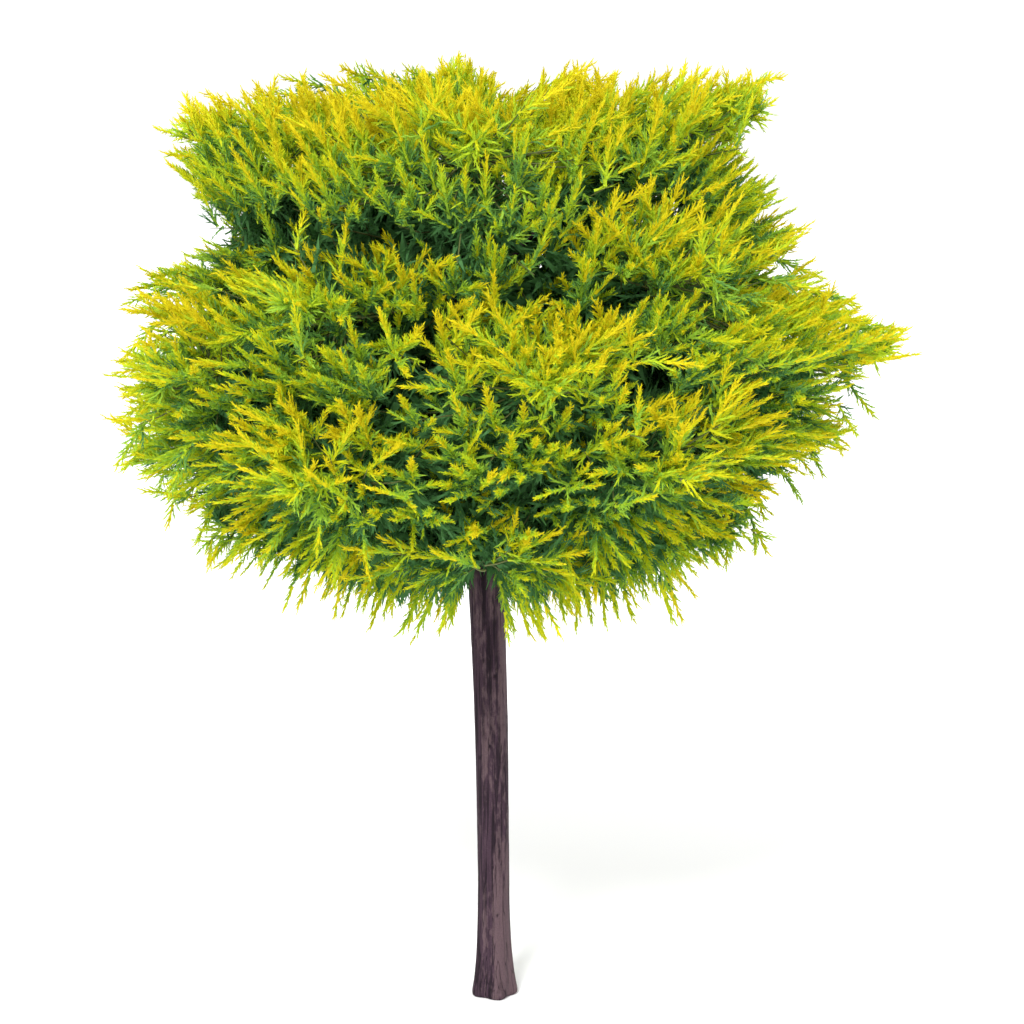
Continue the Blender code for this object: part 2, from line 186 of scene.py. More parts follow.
def set_stops(ramp, stops):
    """Gives a colour ramp its stops, as (place, grey or colour)."""
    while len(ramp.elements) < len(stops):
        ramp.elements.new(1.0)
    for element, (place, colour) in zip(ramp.elements, stops):
        element.position = place
        element.color = (*colour, 1.0) if isinstance(colour, tuple) else (colour, colour, colour, 1.0)


print("helper ready")

# %% [markdown]
# ## The trunk's own curve
#
# The plain model's trunk follows a few named sizes: a stem, a flare with low lobes at its foot, a swelling at
# the graft and a leader that thins out through the crown. The same rule is written again here, because bark
# laid over it has to follow its lean and taper.

# %% Sizes and curve of the trunk
GRAFT_HEIGHT = 0.74
LEADER_HEIGHT = 1.385
STEM_RADIUS = 0.0262
GRAFT_SWELLING = 0.0048
LEADER_TIP_RADIUS = 0.0035
LEADER_TAPER_POWER = 0.85
FLARE = 0.0138
FLARE_HEIGHT = 0.075
FLARE_LOBES = 5
FLARE_LOBE_SHARE = 0.10
FLARE_LOBE_TURN = 0.6
LEAN = 0.048
LEAN_HEIGHT = 1.25
LEAN_POWER = 2.58
SWAY = 0.008


def trunk_centre(height):
    """The middle of the trunk at a height: it leans a little to the left, and more so above the graft."""
    lean = -LEAN * (height / LEAN_HEIGHT) ** LEAN_POWER
    sway = SWAY * math.sin(math.pi * height / LEADER_HEIGHT)
    return Vector((lean, sway, height))


def trunk_radius(height):
    if height > GRAFT_HEIGHT:
        up_leader = (height - GRAFT_HEIGHT) / (LEADER_HEIGHT - GRAFT_HEIGHT)
        below = STEM_RADIUS + GRAFT_SWELLING
        return below + (LEADER_TIP_RADIUS - below) * up_leader ** LEADER_TAPER_POWER
    flare = FLARE * math.exp(-height / FLARE_HEIGHT)
    swelling = GRAFT_SWELLING * (height / GRAFT_HEIGHT) ** 2
    return STEM_RADIUS + flare + swelling


print("stem", round(2000 * trunk_radius(0.4)), "mm thick at 0.4 m")

# %% [markdown]
# ## The limbs
#
# Boughs leave the leader in tiers, and the boughs of one tier are spaced evenly round it. Each limb is a
# quadratic curve from the trunk's middle to the furthest tip of its foliage: it starts along one straight
# line and ends along another. About the first quarter is a bare bough, and the rest is the stem of a mass of
# foliage. The small random draws are seeded, so that the limbs land exactly where the plain model has them.

# %% Tiers and limbs
SEED = 42
BARE_SHARE = 0.27
BOUGH_TAPER = 0.48
SPRING_SPAN = 0.075
BEND_REACH_SHARE = 0.48
BEND_CLIMB_SHARE = 0.5
BEND_TURN_VARIATION = 0.14
REACH_VARIATION = 0.03
TIP_VARIATION = 0.02

TIER_FIELDS = "name count first_turn spring tips reaches front_lift arch radius half_width half_height"
Tier = namedtuple("Tier", TIER_FIELDS)
TIERS = (
    Tier("skirt", 5, 198, 0.765, (0.88, 0.88), (0.54, 0.55), -0.07, 0.08, 0.0115, 0.27, 0.120),
    Tier("lower", 6, 0, 0.860, (0.99, 0.96), (0.60, 0.63), 0.00, 0.07, 0.0110, 0.28, 0.140),
    Tier("middle", 5, -10, 0.950, (1.15, 1.11), (0.61, 0.67), 0.00, 0.06, 0.0100, 0.31, 0.150),
    Tier("upper", 5, 22, 1.040, (1.30, 1.24), (0.58, 0.62), 0.00, 0.06, 0.0088, 0.29, 0.150),
    Tier("top", 5, 198, 1.130, (1.52, 1.49), (0.48, 0.56), 0.00, 0.14, 0.0075, 0.27, 0.170),
)
LONG_BOUGH = ("middle", 1)
LONG_BOUGH_MORE = 0.08
DOME_TIP = Vector((-0.062, 0.0, 1.585))
DOME_HALF_WIDTH = 0.24

Limb = namedtuple("Limb", "name start bend end radius")
Mass = namedtuple("Mass", "name limb bare half_width half_height seed")


def limb_point(limb, share):
    """A point on the limb's curve, which starts along start-bend and ends along bend-end."""
    rest = 1 - share
    return limb.start * rest * rest + limb.bend * 2 * rest * share + limb.end * share * share


def limb_frame(limb, share):
    """The limb's direction there, the direction to its side, and the one that lifts away from both."""
    forward = ((limb.bend - limb.start) * (1 - share) + (limb.end - limb.bend) * share).normalized()
    level = Vector((1.0, 0.0, 0.0)) if limb.name == "dome" else UP
    side = forward.cross(level).normalized()
    return forward, side, side.cross(forward)


def limb_radius(limb, share):
    return limb.radius * (1 + (BOUGH_TAPER - 1) * share / BARE_SHARE)


def tier_limbs(tier):
    """The limbs of one tier, from the trunk's middle to the furthest tips of their foliage."""
    chance = random.Random(SEED + len(tier.name))
    for k in range(tier.count):
        turn = math.radians(tier.first_turn + 360 * k / tier.count)
        on_right = (1 + math.cos(turn)) / 2
        to_front = (1 - math.sin(turn)) / 2
        reach = tier.reaches[1] + (tier.reaches[0] - tier.reaches[1]) * on_right
        reach += chance.uniform(-REACH_VARIATION, REACH_VARIATION) * abs(math.sin(turn))
        if (tier.name, k + 1) == LONG_BOUGH:
            reach += LONG_BOUGH_MORE
        tip = tier.tips[1] + (tier.tips[0] - tier.tips[1]) * on_right + tier.front_lift * to_front
        tip += chance.uniform(-TIP_VARIATION, TIP_VARIATION) * abs(math.sin(turn))
        spring = tier.spring + SPRING_SPAN * (2 * k % tier.count) / tier.count
        bend_turn = turn + chance.uniform(-BEND_TURN_VARIATION, BEND_TURN_VARIATION)
        away = Vector((math.cos(turn), math.sin(turn), 0.0))
        bend_away = Vector((math.cos(bend_turn), math.sin(bend_turn), 0.0))
        start = trunk_centre(spring)
        climb = (tip - spring) * BEND_CLIMB_SHARE + tier.arch
        bend = start + bend_away * reach * BEND_REACH_SHARE + UP * climb
        end = away * reach + UP * tip
        yield Limb(f"{tier.name}_{k + 1}", start, bend, end, tier.radius)


def all_masses():
    """Every mass of foliage with the limb that it grows on, in a fixed order."""
    masses = []
    for tier in TIERS:
        for limb in tier_limbs(tier):
            seed = SEED + 7 * len(masses)
            masses.append(Mass(limb.name, limb, BARE_SHARE, tier.half_width, tier.half_height, seed))
    foot = trunk_centre(LEADER_HEIGHT)
    leader = Limb("dome", foot, (foot + DOME_TIP) / 2, DOME_TIP, LEADER_TIP_RADIUS)
    masses.append(Mass("dome", leader, 0.0, DOME_HALF_WIDTH, DOME_HALF_WIDTH, SEED))
    return masses


masses = all_masses()
print(len(masses), "masses on", len(masses) - 1, "boughs and the leader")

# %% [markdown]
# ## The outline of the crown
#
# Seen from the front, this crown is almost square: flat on top with a lifted corner on each side, notched
# between its tiers, with one long bough on the right. The outline is written down as how far the foliage
# reaches to the left and to the right of the axis at a few heights, in metres. Turned round the axis, with
# the left reach passing gradually into the right one, it bounds the crown on all sides. Two shallow furrows
# part the flat top, as they do on the real plant. A share of the outline is the same shape drawn in towards
# the crown's heart, so one test serves the outermost tips and the deepest twigs alike.

# %% Profile of the crown
STEM_END = 0.84
STEM_REACH = 0.84
STEM_STEP = 0.01
CROWN_HEART = Vector((0.0, 0.0, 1.10))
CROWN_PROFILE = (
    (0.70, 0.25, 0.26), (0.76, 0.38, 0.35), (0.82, 0.46, 0.41), (0.86, 0.50, 0.45), (0.90, 0.55, 0.50),
    (0.94, 0.62, 0.52), (0.98, 0.61, 0.60), (1.02, 0.65, 0.59), (1.06, 0.63, 0.58), (1.12, 0.63, 0.65),
    (1.17, 0.61, 0.69), (1.20, 0.61, 0.65), (1.24, 0.61, 0.59), (1.27, 0.57, 0.41), (1.30, 0.49, 0.55),
    (1.34, 0.36, 0.53), (1.38, 0.49, 0.49), (1.42, 0.56, 0.47), (1.46, 0.55, 0.44), (1.51, 0.53, 0.41),
    (1.54, 0.51, 0.46), (1.57, 0.40, 0.47), (1.585, 0.26, 0.42), (1.60, 0.12, 0.35), (1.61, 0.00, 0.26),
)
DEPTH_LESS = 0.035
FURROWS = ((0.045, 0.05), (0.235, 0.035))
FURROW_HALF = 0.045
FURROW_FROM = 1.42


def crown_reach(point):
    """How far the crown reaches from its axis at the height of a point and on the point's side."""
    heights, lefts, rights = zip(*CROWN_PROFILE)
    left, right = np.interp(point.z, heights, lefts), np.interp(point.z, heights, rights)
    turned = point.x / max(math.hypot(point.x, point.y), 0.001)
    return (left + (right - left) * (1 + turned) / 2) * (1 - DEPTH_LESS * (1 - turned * turned))


def in_crown(point, share):
    """Whether a point keeps to the crown's outline drawn in towards its heart, to a share of its size."""
    scaled = CROWN_HEART + (point - CROWN_HEART) / share
    if scaled.z > FURROW_FROM:
        scaled.z += sum(depth * math.exp(-((scaled.x - x) / FURROW_HALF) ** 2) for x, depth in FURROWS)
    if not CROWN_PROFILE[0][0] < scaled.z < CROWN_PROFILE[-1][0]:
        return False
    return math.hypot(scaled.x, scaled.y) < crown_reach(scaled)


def stem_end(mass):
    """The share of a limb at which its stem ends: near its tip, but well inside the crown's outline."""
    share = mass.bare + (1 - mass.bare) * STEM_END
    while not in_crown(limb_point(mass.limb, share), STEM_REACH):
        share -= STEM_STEP
    return share


print("the widest reach is", max(row[2] for row in CROWN_PROFILE), "m, to the right")

# %% [markdown]
# ## Bark with real relief
#
# A juniper's bark runs in long shallow flutes and peels in narrow strips, with a few scars where twigs were
# cut off. Seen from a step away that is shape, not colour, so it is modelled: a fine sleeve of faces follows
# the trunk, and a relief formula moves each corner in or out. The formula wraps noise round the limb and
# draws it out twenty to forty times along it, which is what turns blotches into strips.

# %% Relief formula and sleeves
FLUTE_DEPTH = 0.0016
STRIP_DEPTH = 0.0008
GRAIN_DEPTH = 0.00035
FLUTE_NOISE = (1.5, 1.6, 0)
STRIP_NOISE = (4.2, 4.0, 7)
GRAIN_NOISE = (13, 22, 3)
SCAR_DEPTH = 0.0022
SCARS = ((0.668, -1.75), (0.602, -1.95), (0.575, -1.28), (0.452, -1.70), (0.388, -1.30), (0.236, -1.62),
         (0.150, -1.35), (0.33, 0.4), (0.52, 1.3), (0.21, 2.2), (0.63, 2.9), (0.43, 3.9))
SCAR_HALF_WIDTH = 0.22
SCAR_HALF_HEIGHT = 0.011
SCAR_EDGE = 6
SCAR_RIM = 0.9
SCAR_HOLLOW = 1.5
HOLLOW_CLOSER = 3.5


def scar_relief(turn, height):
    """Each scar is a low rim round a sunken middle."""
    total = 0.0
    for scar_height, scar_turn in SCARS:
        across = math.remainder(turn - scar_turn, 2 * math.pi) / SCAR_HALF_WIDTH
        along = (height - scar_height) / SCAR_HALF_HEIGHT
        away = across * across + along * along
        if away < SCAR_EDGE:
            rim, hollow = math.exp(-away), math.exp(-HOLLOW_CLOSER * away)
            total += SCAR_DEPTH * (SCAR_RIM * rim - SCAR_HOLLOW * hollow)
    return total


def bark_noise(turn, height, sizes):
    """Noise wrapped round a limb. sizes are its scale round the limb, its scale along it, and a shift."""
    around, along, shift = sizes
    return noise.noise(Vector((around * math.cos(turn), around * math.sin(turn), along * height + shift)))


def bark_relief(turn, height, girth):
    """How far the bark stands out from the smooth limb, in metres. girth is the limb's radius."""
    flutes = bark_noise(turn, height, FLUTE_NOISE)
    strips = 1 - 2 * abs(bark_noise(turn, height, STRIP_NOISE))
    grain = bark_noise(turn, height, GRAIN_NOISE)
    fine = min(girth / STEM_RADIUS, 1.0)
    return fine * (FLUTE_DEPTH * flutes + STRIP_DEPTH * (strips - 0.5) + GRAIN_DEPTH * grain)


def sleeve(points, faces, rings):
    """Adds a closed tube through rings of corners, with a cap on each end."""
    first = len(points)
    sides = len(rings[0])
    for ring in rings:
        points.extend(ring)
    for low in range(first, len(points) - sides, sides):
        for k in range(sides):
            after = (k + 1) % sides
            faces.append((low + k, low + after, low + sides + after, low + sides + k))
    for ring_start, flip in ((first, True), (len(points) - sides, False)):
        middle = len(points)
        ring = points[ring_start:ring_start + sides]
        points.append(sum(ring, Vector()) / sides)
        for k in range(sides):
            corner = (ring_start + k, ring_start + (k + 1) % sides, middle)
            faces.append(corner[::-1] if flip else corner)


def mesh_piece(name, points, faces, material):
    mesh = bpy.data.meshes.new(name)
    mesh.from_pydata([tuple(point) for point in points], [], faces)
    mesh.shade_smooth()
    mesh.materials.append(material)
    return link(bpy.data.objects.new(name, mesh))


print("the stem has", len(SCARS), "scars, and its flutes are", 1000 * FLUTE_DEPTH, "mm deep")

# %% [markdown]
# ## Bark colour
#
# The stem is a dusky purple-brown. Paler greyish patches show where the outer strips wore off, and more of
# them lie towards the right-front side, so the stem is paler there. Darker streaks lie in the flutes, and all
# of it is drawn out along the stem. The colour reads Object coordinates squeezed along Z, so the streaks stay
# put on the piece. The same streaks drive a little roughness and a shallow bump.

# %% Bark material
BARK_DARK = (0.013, 0.008, 0.012, 1.0)
BARK_MIDDLE = (0.056, 0.032, 0.047, 1.0)
BARK_PALE = (0.138, 0.088, 0.098, 1.0)
PALER_SIDE = (0.55, -0.80, 0.0)
PALER_SIDE_STRENGTH = 5.0
WORN_STRENGTH = 0.75
DARK_STRENGTH = 0.85
DARK_LESS_WHERE_WORN = 0.45
CRACK_SHARPNESS = 500.0
CRACK_STRENGTH = 0.7
MOTTLE_STRENGTH = 0.85
BARK_ROUGHNESS = 0.85
WORN_SMOOTHER = 0.2
BARK_SHEEN = 0.12
BARK_BUMP = 0.0007


def bark_material():
    material = bpy.data.materials.new("juniper_bark")
    material.use_nodes = True
    tree = material.node_tree
    shader = tree.nodes["Principled BSDF"]
    shader.inputs["Specular IOR Level"].default_value = BARK_SHEEN
    start = Wire(tree)
    place = start.node("ShaderNodeTexCoord", out="Object")

    def stretched(height_scale, scale, detail):
        """Noise drawn out along the stem."""
        at = start.node("ShaderNodeMapping", values={"Vector": place, "Scale": (1.0, 1.0, height_scale)})
        return start.node("ShaderNodeTexNoise", None, {"Vector": at, "Scale": scale, "Detail": detail}, "Fac")

    def ramp(value, low, high):
        """0 below the first stop and 1 above the second."""
        return start.node("ShaderNodeValToRGB", {"stops": ((low, 0.0), (high, 1.0))}, {"Fac": value})

    def over(tone, colour, share, blend_type="MIX"):
        """A colour laid over the tone by a share."""
        settings = {"data_type": "RGBA", "blend_type": blend_type}
        return start.node("ShaderNodeMix", settings, {6: tone, 7: colour, 0: share}, 2)

    turned = {"operation": "DOT_PRODUCT"}
    # The pale patches are more common towards the right-front side, so the stem is paler there.
    facing = start.node("ShaderNodeVectorMath", turned, {0: place, 1: PALER_SIDE}, "Value")
    facing = start.node("ShaderNodeClamp", None, {"Value": facing, "Min": -STEM_RADIUS, "Max": STEM_RADIUS})
    bands = stretched(height_scale=0.10, scale=42.0, detail=3.0)
    ragged = stretched(height_scale=0.35, scale=150.0, detail=5.0)
    strips = stretched(height_scale=0.045, scale=210.0, detail=4.0)
    cracks = stretched(height_scale=0.030, scale=95.0, detail=2.0)
    grain = stretched(height_scale=0.6, scale=900.0, detail=2.0)
    worn = ramp(bands * 0.75 + ragged * 0.35 + facing * PALER_SIDE_STRENGTH, low=0.58, high=0.66)
    dark = ramp(1 - (bands * 0.25 + strips * 0.75), low=0.48, high=0.60)
    crack = ramp(1 - (cracks - 0.5) * (cracks - 0.5) * CRACK_SHARPNESS, low=0.80, high=0.97)
    # Painted shade: the scars' hollows, read from the trunk's scar attribute, darker where they sink deeper.
    scar = start.node("ShaderNodeAttribute", {"attribute_name": "scar"}, out="Fac")
    mottle = start.node("ShaderNodeValToRGB", {"stops": ((0.3, 0.55), (0.72, 1.0))}, {"Fac": grain})
    tone = over(BARK_MIDDLE, BARK_PALE, worn * WORN_STRENGTH)
    tone = over(tone, BARK_DARK, dark * (DARK_STRENGTH - worn * DARK_LESS_WHERE_WORN))
    tone = over(tone, BARK_DARK, crack * CRACK_STRENGTH)
    tone = over(tone, BARK_DARK, scar)
    tone = over(tone, mottle, MOTTLE_STRENGTH, "MULTIPLY")
    relief = strips * 0.6 + grain * 0.35 - crack * 0.5 + worn * 0.25
    bump = start.node("ShaderNodeBump", None, {"Strength": 1.0, "Distance": BARK_BUMP, "Height": relief})
    tree.links.new(tone.socket, shader.inputs["Base Color"])
    tree.links.new((BARK_ROUGHNESS - worn * WORN_SMOOTHER).socket, shader.inputs["Roughness"])
    tree.links.new(bump.socket, shader.inputs["Normal"])
    return material


bark = bark_material()
print("bark material:", len(bark.node_tree.nodes), "nodes")

# %% [markdown]
# ## The trunk
#
# The relief only shows where the sleeve is finer than a strip of bark is wide, so the trunk gets 112 corners
# round and a ring every 2.8 mm. A texture could fake this from afar, but not at the edge of the stem, where
# the strips break its outline. The hollow of each scar is also painted dark, as shade, so every corner carries
# how sunken it is as an attribute that the bark material reads.

# %% Trunk
TRUNK_SIDES = 112
TRUNK_STEP = 0.0028
FOOT_ROUNDING = 0.012
SCAR_PAINTED_SHADE = 0.8


def trunk_rings():
    rings = []
    count = round(LEADER_HEIGHT / TRUNK_STEP)
    for r in range(count + 1):
        height = LEADER_HEIGHT * r / count
        lobes = FLARE_LOBE_SHARE * math.exp(-height / FLARE_HEIGHT)
        smooth = trunk_radius(height)
        ring = []
        for k in range(TRUNK_SIDES):
            turn = 2 * math.pi * k / TRUNK_SIDES
            radius = smooth * (1 + lobes * math.cos(FLARE_LOBES * turn + FLARE_LOBE_TURN))
            radius += bark_relief(turn, height, smooth)
            if height < GRAFT_HEIGHT:
                radius += scar_relief(turn, height)
            if height < FOOT_ROUNDING:
                radius -= FOOT_ROUNDING * (1 - math.sqrt(1 - (1 - height / FOOT_ROUNDING) ** 2)) / 2
            ring.append(trunk_centre(height) + radius * Vector((math.cos(turn), math.sin(turn), 0.0)))
        rings.append(ring)
    return rings


points, faces = [], []
sleeve(points, faces, trunk_rings())
trunk = mesh_piece("trunk_bark", points, faces, bark)
painted_scar_shade = [0.0] * len(points)
# Painted shade in the scars: each corner darkens by how far its hollow sinks.
for number, point in enumerate(points):
    if point.z < GRAFT_HEIGHT:
        off = point - trunk_centre(point.z)
        sunken = scar_relief(math.atan2(off.y, off.x), point.z)
        painted_scar_shade[number] = SCAR_PAINTED_SHADE * min(max(-2 * sunken / SCAR_DEPTH, 0.0), 1.0)
trunk.data.attributes.new("scar", "FLOAT", "POINT").data.foreach_set("value", painted_scar_shade)
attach(trunk, "root")
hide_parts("trunk")
print("trunk:", len(faces), "faces")

# %% [markdown]
# ## Boughs and the stems inside the foliage
#
# A bough is one tapering limb that runs on as the stem of its mass of foliage, so one sleeve follows the
# whole curve: from just inside the trunk's bark, where a real bough is grown in, to the stem's thin end.

# %% Boughs and stems
BOUGH_SIDES = 18
BOUGH_RINGS = 64
BOUGH_BURIED = 0.006
STEM_NARROWING = 0.86
COLLAR_SWELLING = 0.35
COLLAR_SHARE = 0.035
BOUGH_NOISE_ALONG = 1.7


def limb_thickness(limb, share):
    """The radius along a limb: a bough's taper with a collar at its foot, then the slower taper of a stem."""
    if limb.name == "dome":
        return limb.radius * (1 - STEM_NARROWING * share)
    if share < BARE_SHARE:
        return limb_radius(limb, share) * (1 + COLLAR_SWELLING * math.exp(-share / COLLAR_SHARE))
    along = (share - BARE_SHARE) / (1 - BARE_SHARE)
    return limb_radius(limb, BARE_SHARE) * (1 - STEM_NARROWING * along)


def limb_sleeve_rings(mass):
    """The rings round a limb, from inside the trunk's bark or the trunk's own tip to the stem's end."""
    limb = mass.limb
    first = 0.0
    if mass.bare:
        first = (trunk_radius(limb.start.z) - BOUGH_BURIED) / (limb.bend - limb.start).length / 2
    last = stem_end(mass)
    rings = []
    for r in range(BOUGH_RINGS + 1):
        share = first + (last - first) * r / BOUGH_RINGS
        _, side, lift = limb_frame(limb, share)
        centre = limb_point(limb, share)
        girth = limb_thickness(limb, share)
        ring = []
        for k in range(BOUGH_SIDES):
            turn = 2 * math.pi * k / BOUGH_SIDES
            radius = girth + bark_relief(turn, BOUGH_NOISE_ALONG * centre.length, girth)
            ring.append(centre + (side * math.cos(turn) + lift * math.sin(turn)) * radius)
        rings.append(ring)
    return rings


points, faces = [], []
for mass in masses:
    sleeve(points, faces, limb_sleeve_rings(mass))
boughs = mesh_piece("bough_bark", points, faces, bark)
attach(boughs, "root")
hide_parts(*[f"bough_{mass.name}" for mass in masses if mass.bare])
print("boughs:", len(faces), "faces")

# %% [markdown]
# ## The space that each mass keeps to
#
# A mass of foliage fills a flattened egg round its stem, and a plane between each pair of eggs keeps two
# masses from growing through each other. The plain solids stay 4 mm apart there. Real sprays mingle where
# they meet, or the crown would show the seams, so here they may cross a plane by 45 mm. No spray may touch
# bare wood.

# %% Eggs, borders and bare wood
CELL_GAP = 0.004
MINGLING = 0.045
LIMB_MARGIN = 0.004
TRUNK_STRETCHES = 18
TRUNK_HEIGHTS = [LEADER_HEIGHT * k / TRUNK_STRETCHES for k in range(TRUNK_STRETCHES + 1)]
BOUGH_STRETCHES = 5


def mass_axes(mass):
    """The middle of a mass, and its three half axes as (direction, half length)."""
    base = limb_point(mass.limb, mass.bare)
    tip = limb_point(mass.limb, 1.0)
    axis = (tip - base).normalized()
    side = limb_frame(mass.limb, 0.5)[1]
    side = (side - axis * side.dot(axis)).normalized()
    lift = side.cross(axis)
    half_length = (tip - base).length / 2
    axes = ((axis, half_length), (side, mass.half_width), (lift, mass.half_height))
    return (base + tip) / 2, axes


def half_extent(axes, normal):
    return math.sqrt(sum((normal.dot(direction) * half) ** 2 for direction, half in axes))


def pull(axes, away):
    """away turned towards the mass's thin directions, so that a border lies along its flat side."""
    return sum((direction * (away.dot(direction) / half ** 2) for direction, half in axes), Vector())


def borders_of(masses):
    """The planes that part the masses, as {name: (outward normals, how far a point may go along each)}."""
    shapes = {mass.name: mass_axes(mass) for mass in masses}
    borders = {mass.name: [] for mass in masses}
    for i, one in enumerate(masses):
        for other in masses[i + 1:]:
            (here, mine), (there, theirs) = shapes[one.name], shapes[other.name]
            normal = (pull(mine, there - here) + pull(theirs, there - here)).normalized()
            my_edge = here.dot(normal) + half_extent(mine, normal)
            their_edge = there.dot(normal) - half_extent(theirs, normal)
            middle = (my_edge + their_edge) / 2
            borders[one.name].append((normal, middle - CELL_GAP / 2 + MINGLING))
            borders[other.name].append((-normal, -middle - CELL_GAP / 2 + MINGLING))
    return {name: tuple(np.array(column) for column in zip(*rows)) for name, rows in borders.items()}


def bare_stretches(masses):
    """The trunk and the boughs as short straight stretches: arrays of starts, of runs and of radii."""
    stretches = []
    for low, high in zip(TRUNK_HEIGHTS, TRUNK_HEIGHTS[1:]):
        radius = max(trunk_radius(low), trunk_radius(high)) * (1 + FLARE_LOBE_SHARE)
        stretches.append((trunk_centre(low), trunk_centre(high) - trunk_centre(low), radius))
    for mass in masses:
        shares = [mass.bare * k / BOUGH_STRETCHES for k in range(BOUGH_STRETCHES + 1)]
        for near, far in zip(shares, shares[1:]):
            if mass.bare:
                start, end = limb_point(mass.limb, near), limb_point(mass.limb, far)
                stretches.append((start, end - start, limb_radius(mass.limb, near)))
    return tuple(np.array(column) for column in zip(*stretches))


def is_free(points, border, stretches):
    """Whether all the points lie inside a mass's own space and off the bare limbs."""
    spots = np.array(points)
    normals, limits = border
    if (spots @ normals.T > limits).any():
        return False
    starts, runs, radii = stretches
    offsets = spots[:, None, :] - starts[None, :, :]
    shares = np.clip((offsets * runs).sum(2) / (runs * runs).sum(1), 0.0, 1.0)
    away = np.linalg.norm(offsets - shares[:, :, None] * runs, axis=2)
    return bool((away - radii > LIMB_MARGIN).all())


def room_ahead(mass, start, aim):
    """How far it is from start along aim to the edge of the mass's own egg shape."""
    middle, axes = mass_axes(mass)
    offset = [(start - middle).dot(direction) / half for direction, half in axes]
    step = [aim.dot(direction) / half for direction, half in axes]
    a = sum(value * value for value in step)
    b = sum(here * value for here, value in zip(offset, step))
    c = sum(value * value for value in offset) - 1.0
    return (math.sqrt(max(b * b - a * c, 0.0)) - b) / a


borders = borders_of(masses)
stretches = bare_stretches(masses)
print("each mass has", len(masses) - 1, "borders; bare wood is", len(stretches[2]), "stretches")

# %% [markdown]
# ## The flow of the crown
#
# If every spray pointed straight away from the crown's heart, the front would look like a star. On the real
# plant the sprays lie over each other like shingles: they rise above the middle of the crown, on the front
# and back more than at the sides, and the lowest ones droop. One function turns a direction towards this
# flow in part, and twigs, plumes and fillers all use it with their own shares.

# %% Which way the foliage flows
FLOW_RISES = ((0.76, -1.20), (0.86, -0.50), (0.98, -0.15), (1.12, 0.08), (1.45, 0.35))
FRONT_RISE = 1.1


def with_flow(point, aim, share):
    """A direction turned in part to the flow there: out from the heart, and up by a rise for its height."""
    out = (point - CROWN_HEART).normalized()
    flow = out + UP * (np.interp(point.z, *zip(*FLOW_RISES)) + FRONT_RISE * out.y * out.y)
    return (aim * (1 - share) + flow * share).normalized()


flow_heights, flow_rises = zip(*FLOW_RISES)
print("the flow droops below about", round(float(np.interp(0.0, flow_rises, flow_heights)), 2), "m")

# %% [markdown]
# ## Twigs
#
# The plain model grows five twigs on each stem, by a seeded rule: they leave by either side in turn, wide at
# the stem's foot and close at its tip, and reach for the edge of the egg. A real mass has many more. The
# same five come first here, and finer ones follow, turned a little to the flow. Those go round the stem by
# the golden turn, the angle that plants use themselves, since it never puts one twig right above another.

# %% Twigs of both kinds
STEM_INTO_SPRAY = 0.02
COARSE_TWIGS = 5
TWIG_SHARES = (0.04, 0.84)
TWIG_RISE = 40
UPRIGHT_EVERY = 3
UPRIGHT_RISES = (80, 80, -60)
TWIG_SPREAD = 70
TWIG_CLOSING = 34
SPRAY_LENGTH = 0.20
SPRAY_LENGTH_VARIATION = 0.15
SPRAY_SPAN_SHARE = 0.75
SPRAY_BEYOND_TWIG = 0.9
SPRAY_TILT = 0.3
SPRAY_LEVELLING = 0.3

FINE_TWIGS = 46
FINE_SEED = 3
GOLDEN_TURN = math.radians(137.508)
FINE_PLACES = (0.2, 0.8)
FINE_SHARES = (-0.10, 0.97)
LEAST_SHARE = 0.02
FINE_SPREADS = (98, 26)
FINE_SPANS = (0.90, 1.03)
FINE_LENGTH = 0.095
SIZES = (0.8, 1.2)
TWIG_FLOW = 0.35

Twig = namedtuple("Twig", "start aim across reach length tilts")


def blend(pair, share):
    return pair[0] + (pair[1] - pair[0]) * share


def stem_share(mass, share):
    """The share of a limb that is a share of its stem."""
    return mass.bare + (1 - mass.bare) * share


def coarse_twigs(mass):
    """The plain model's own twigs, by the same rule and the same draws."""
    chance = random.Random(mass.seed)
    hand = chance.choice((-1, 1))
    for k in range(COARSE_TWIGS):
        share = TWIG_SHARES[0] + (TWIG_SHARES[1] - TWIG_SHARES[0]) * (k + 0.5) / COARSE_TWIGS
        rise = math.radians(chance.uniform(0, TWIG_RISE))
        if k % UPRIGHT_EVERY == 1:
            rise = math.radians(chance.choice(UPRIGHT_RISES))
        hand = -hand
        forward, side, lift = limb_frame(mass.limb, stem_share(mass, share))
        outward = side * hand * math.cos(rise) + lift * math.sin(rise)
        spread = math.radians(TWIG_SPREAD - TWIG_CLOSING * share)
        aim = (forward * math.cos(spread) + outward * math.sin(spread)).normalized()
        start = limb_point(mass.limb, stem_share(mass, share))
        across = aim.cross(outward.cross(aim) + UP * SPRAY_LEVELLING).normalized()
        span = room_ahead(mass, start, aim)
        length = SPRAY_LENGTH * chance.uniform(1 - SPRAY_LENGTH_VARIATION, 1 + SPRAY_LENGTH_VARIATION)
        length = min(length, SPRAY_SPAN_SHARE * span)
        tilts = [chance.uniform(-SPRAY_TILT, SPRAY_TILT) for _ in range(3)]
        yield Twig(start, aim, across, span - length * SPRAY_BEYOND_TWIG, length, tilts)


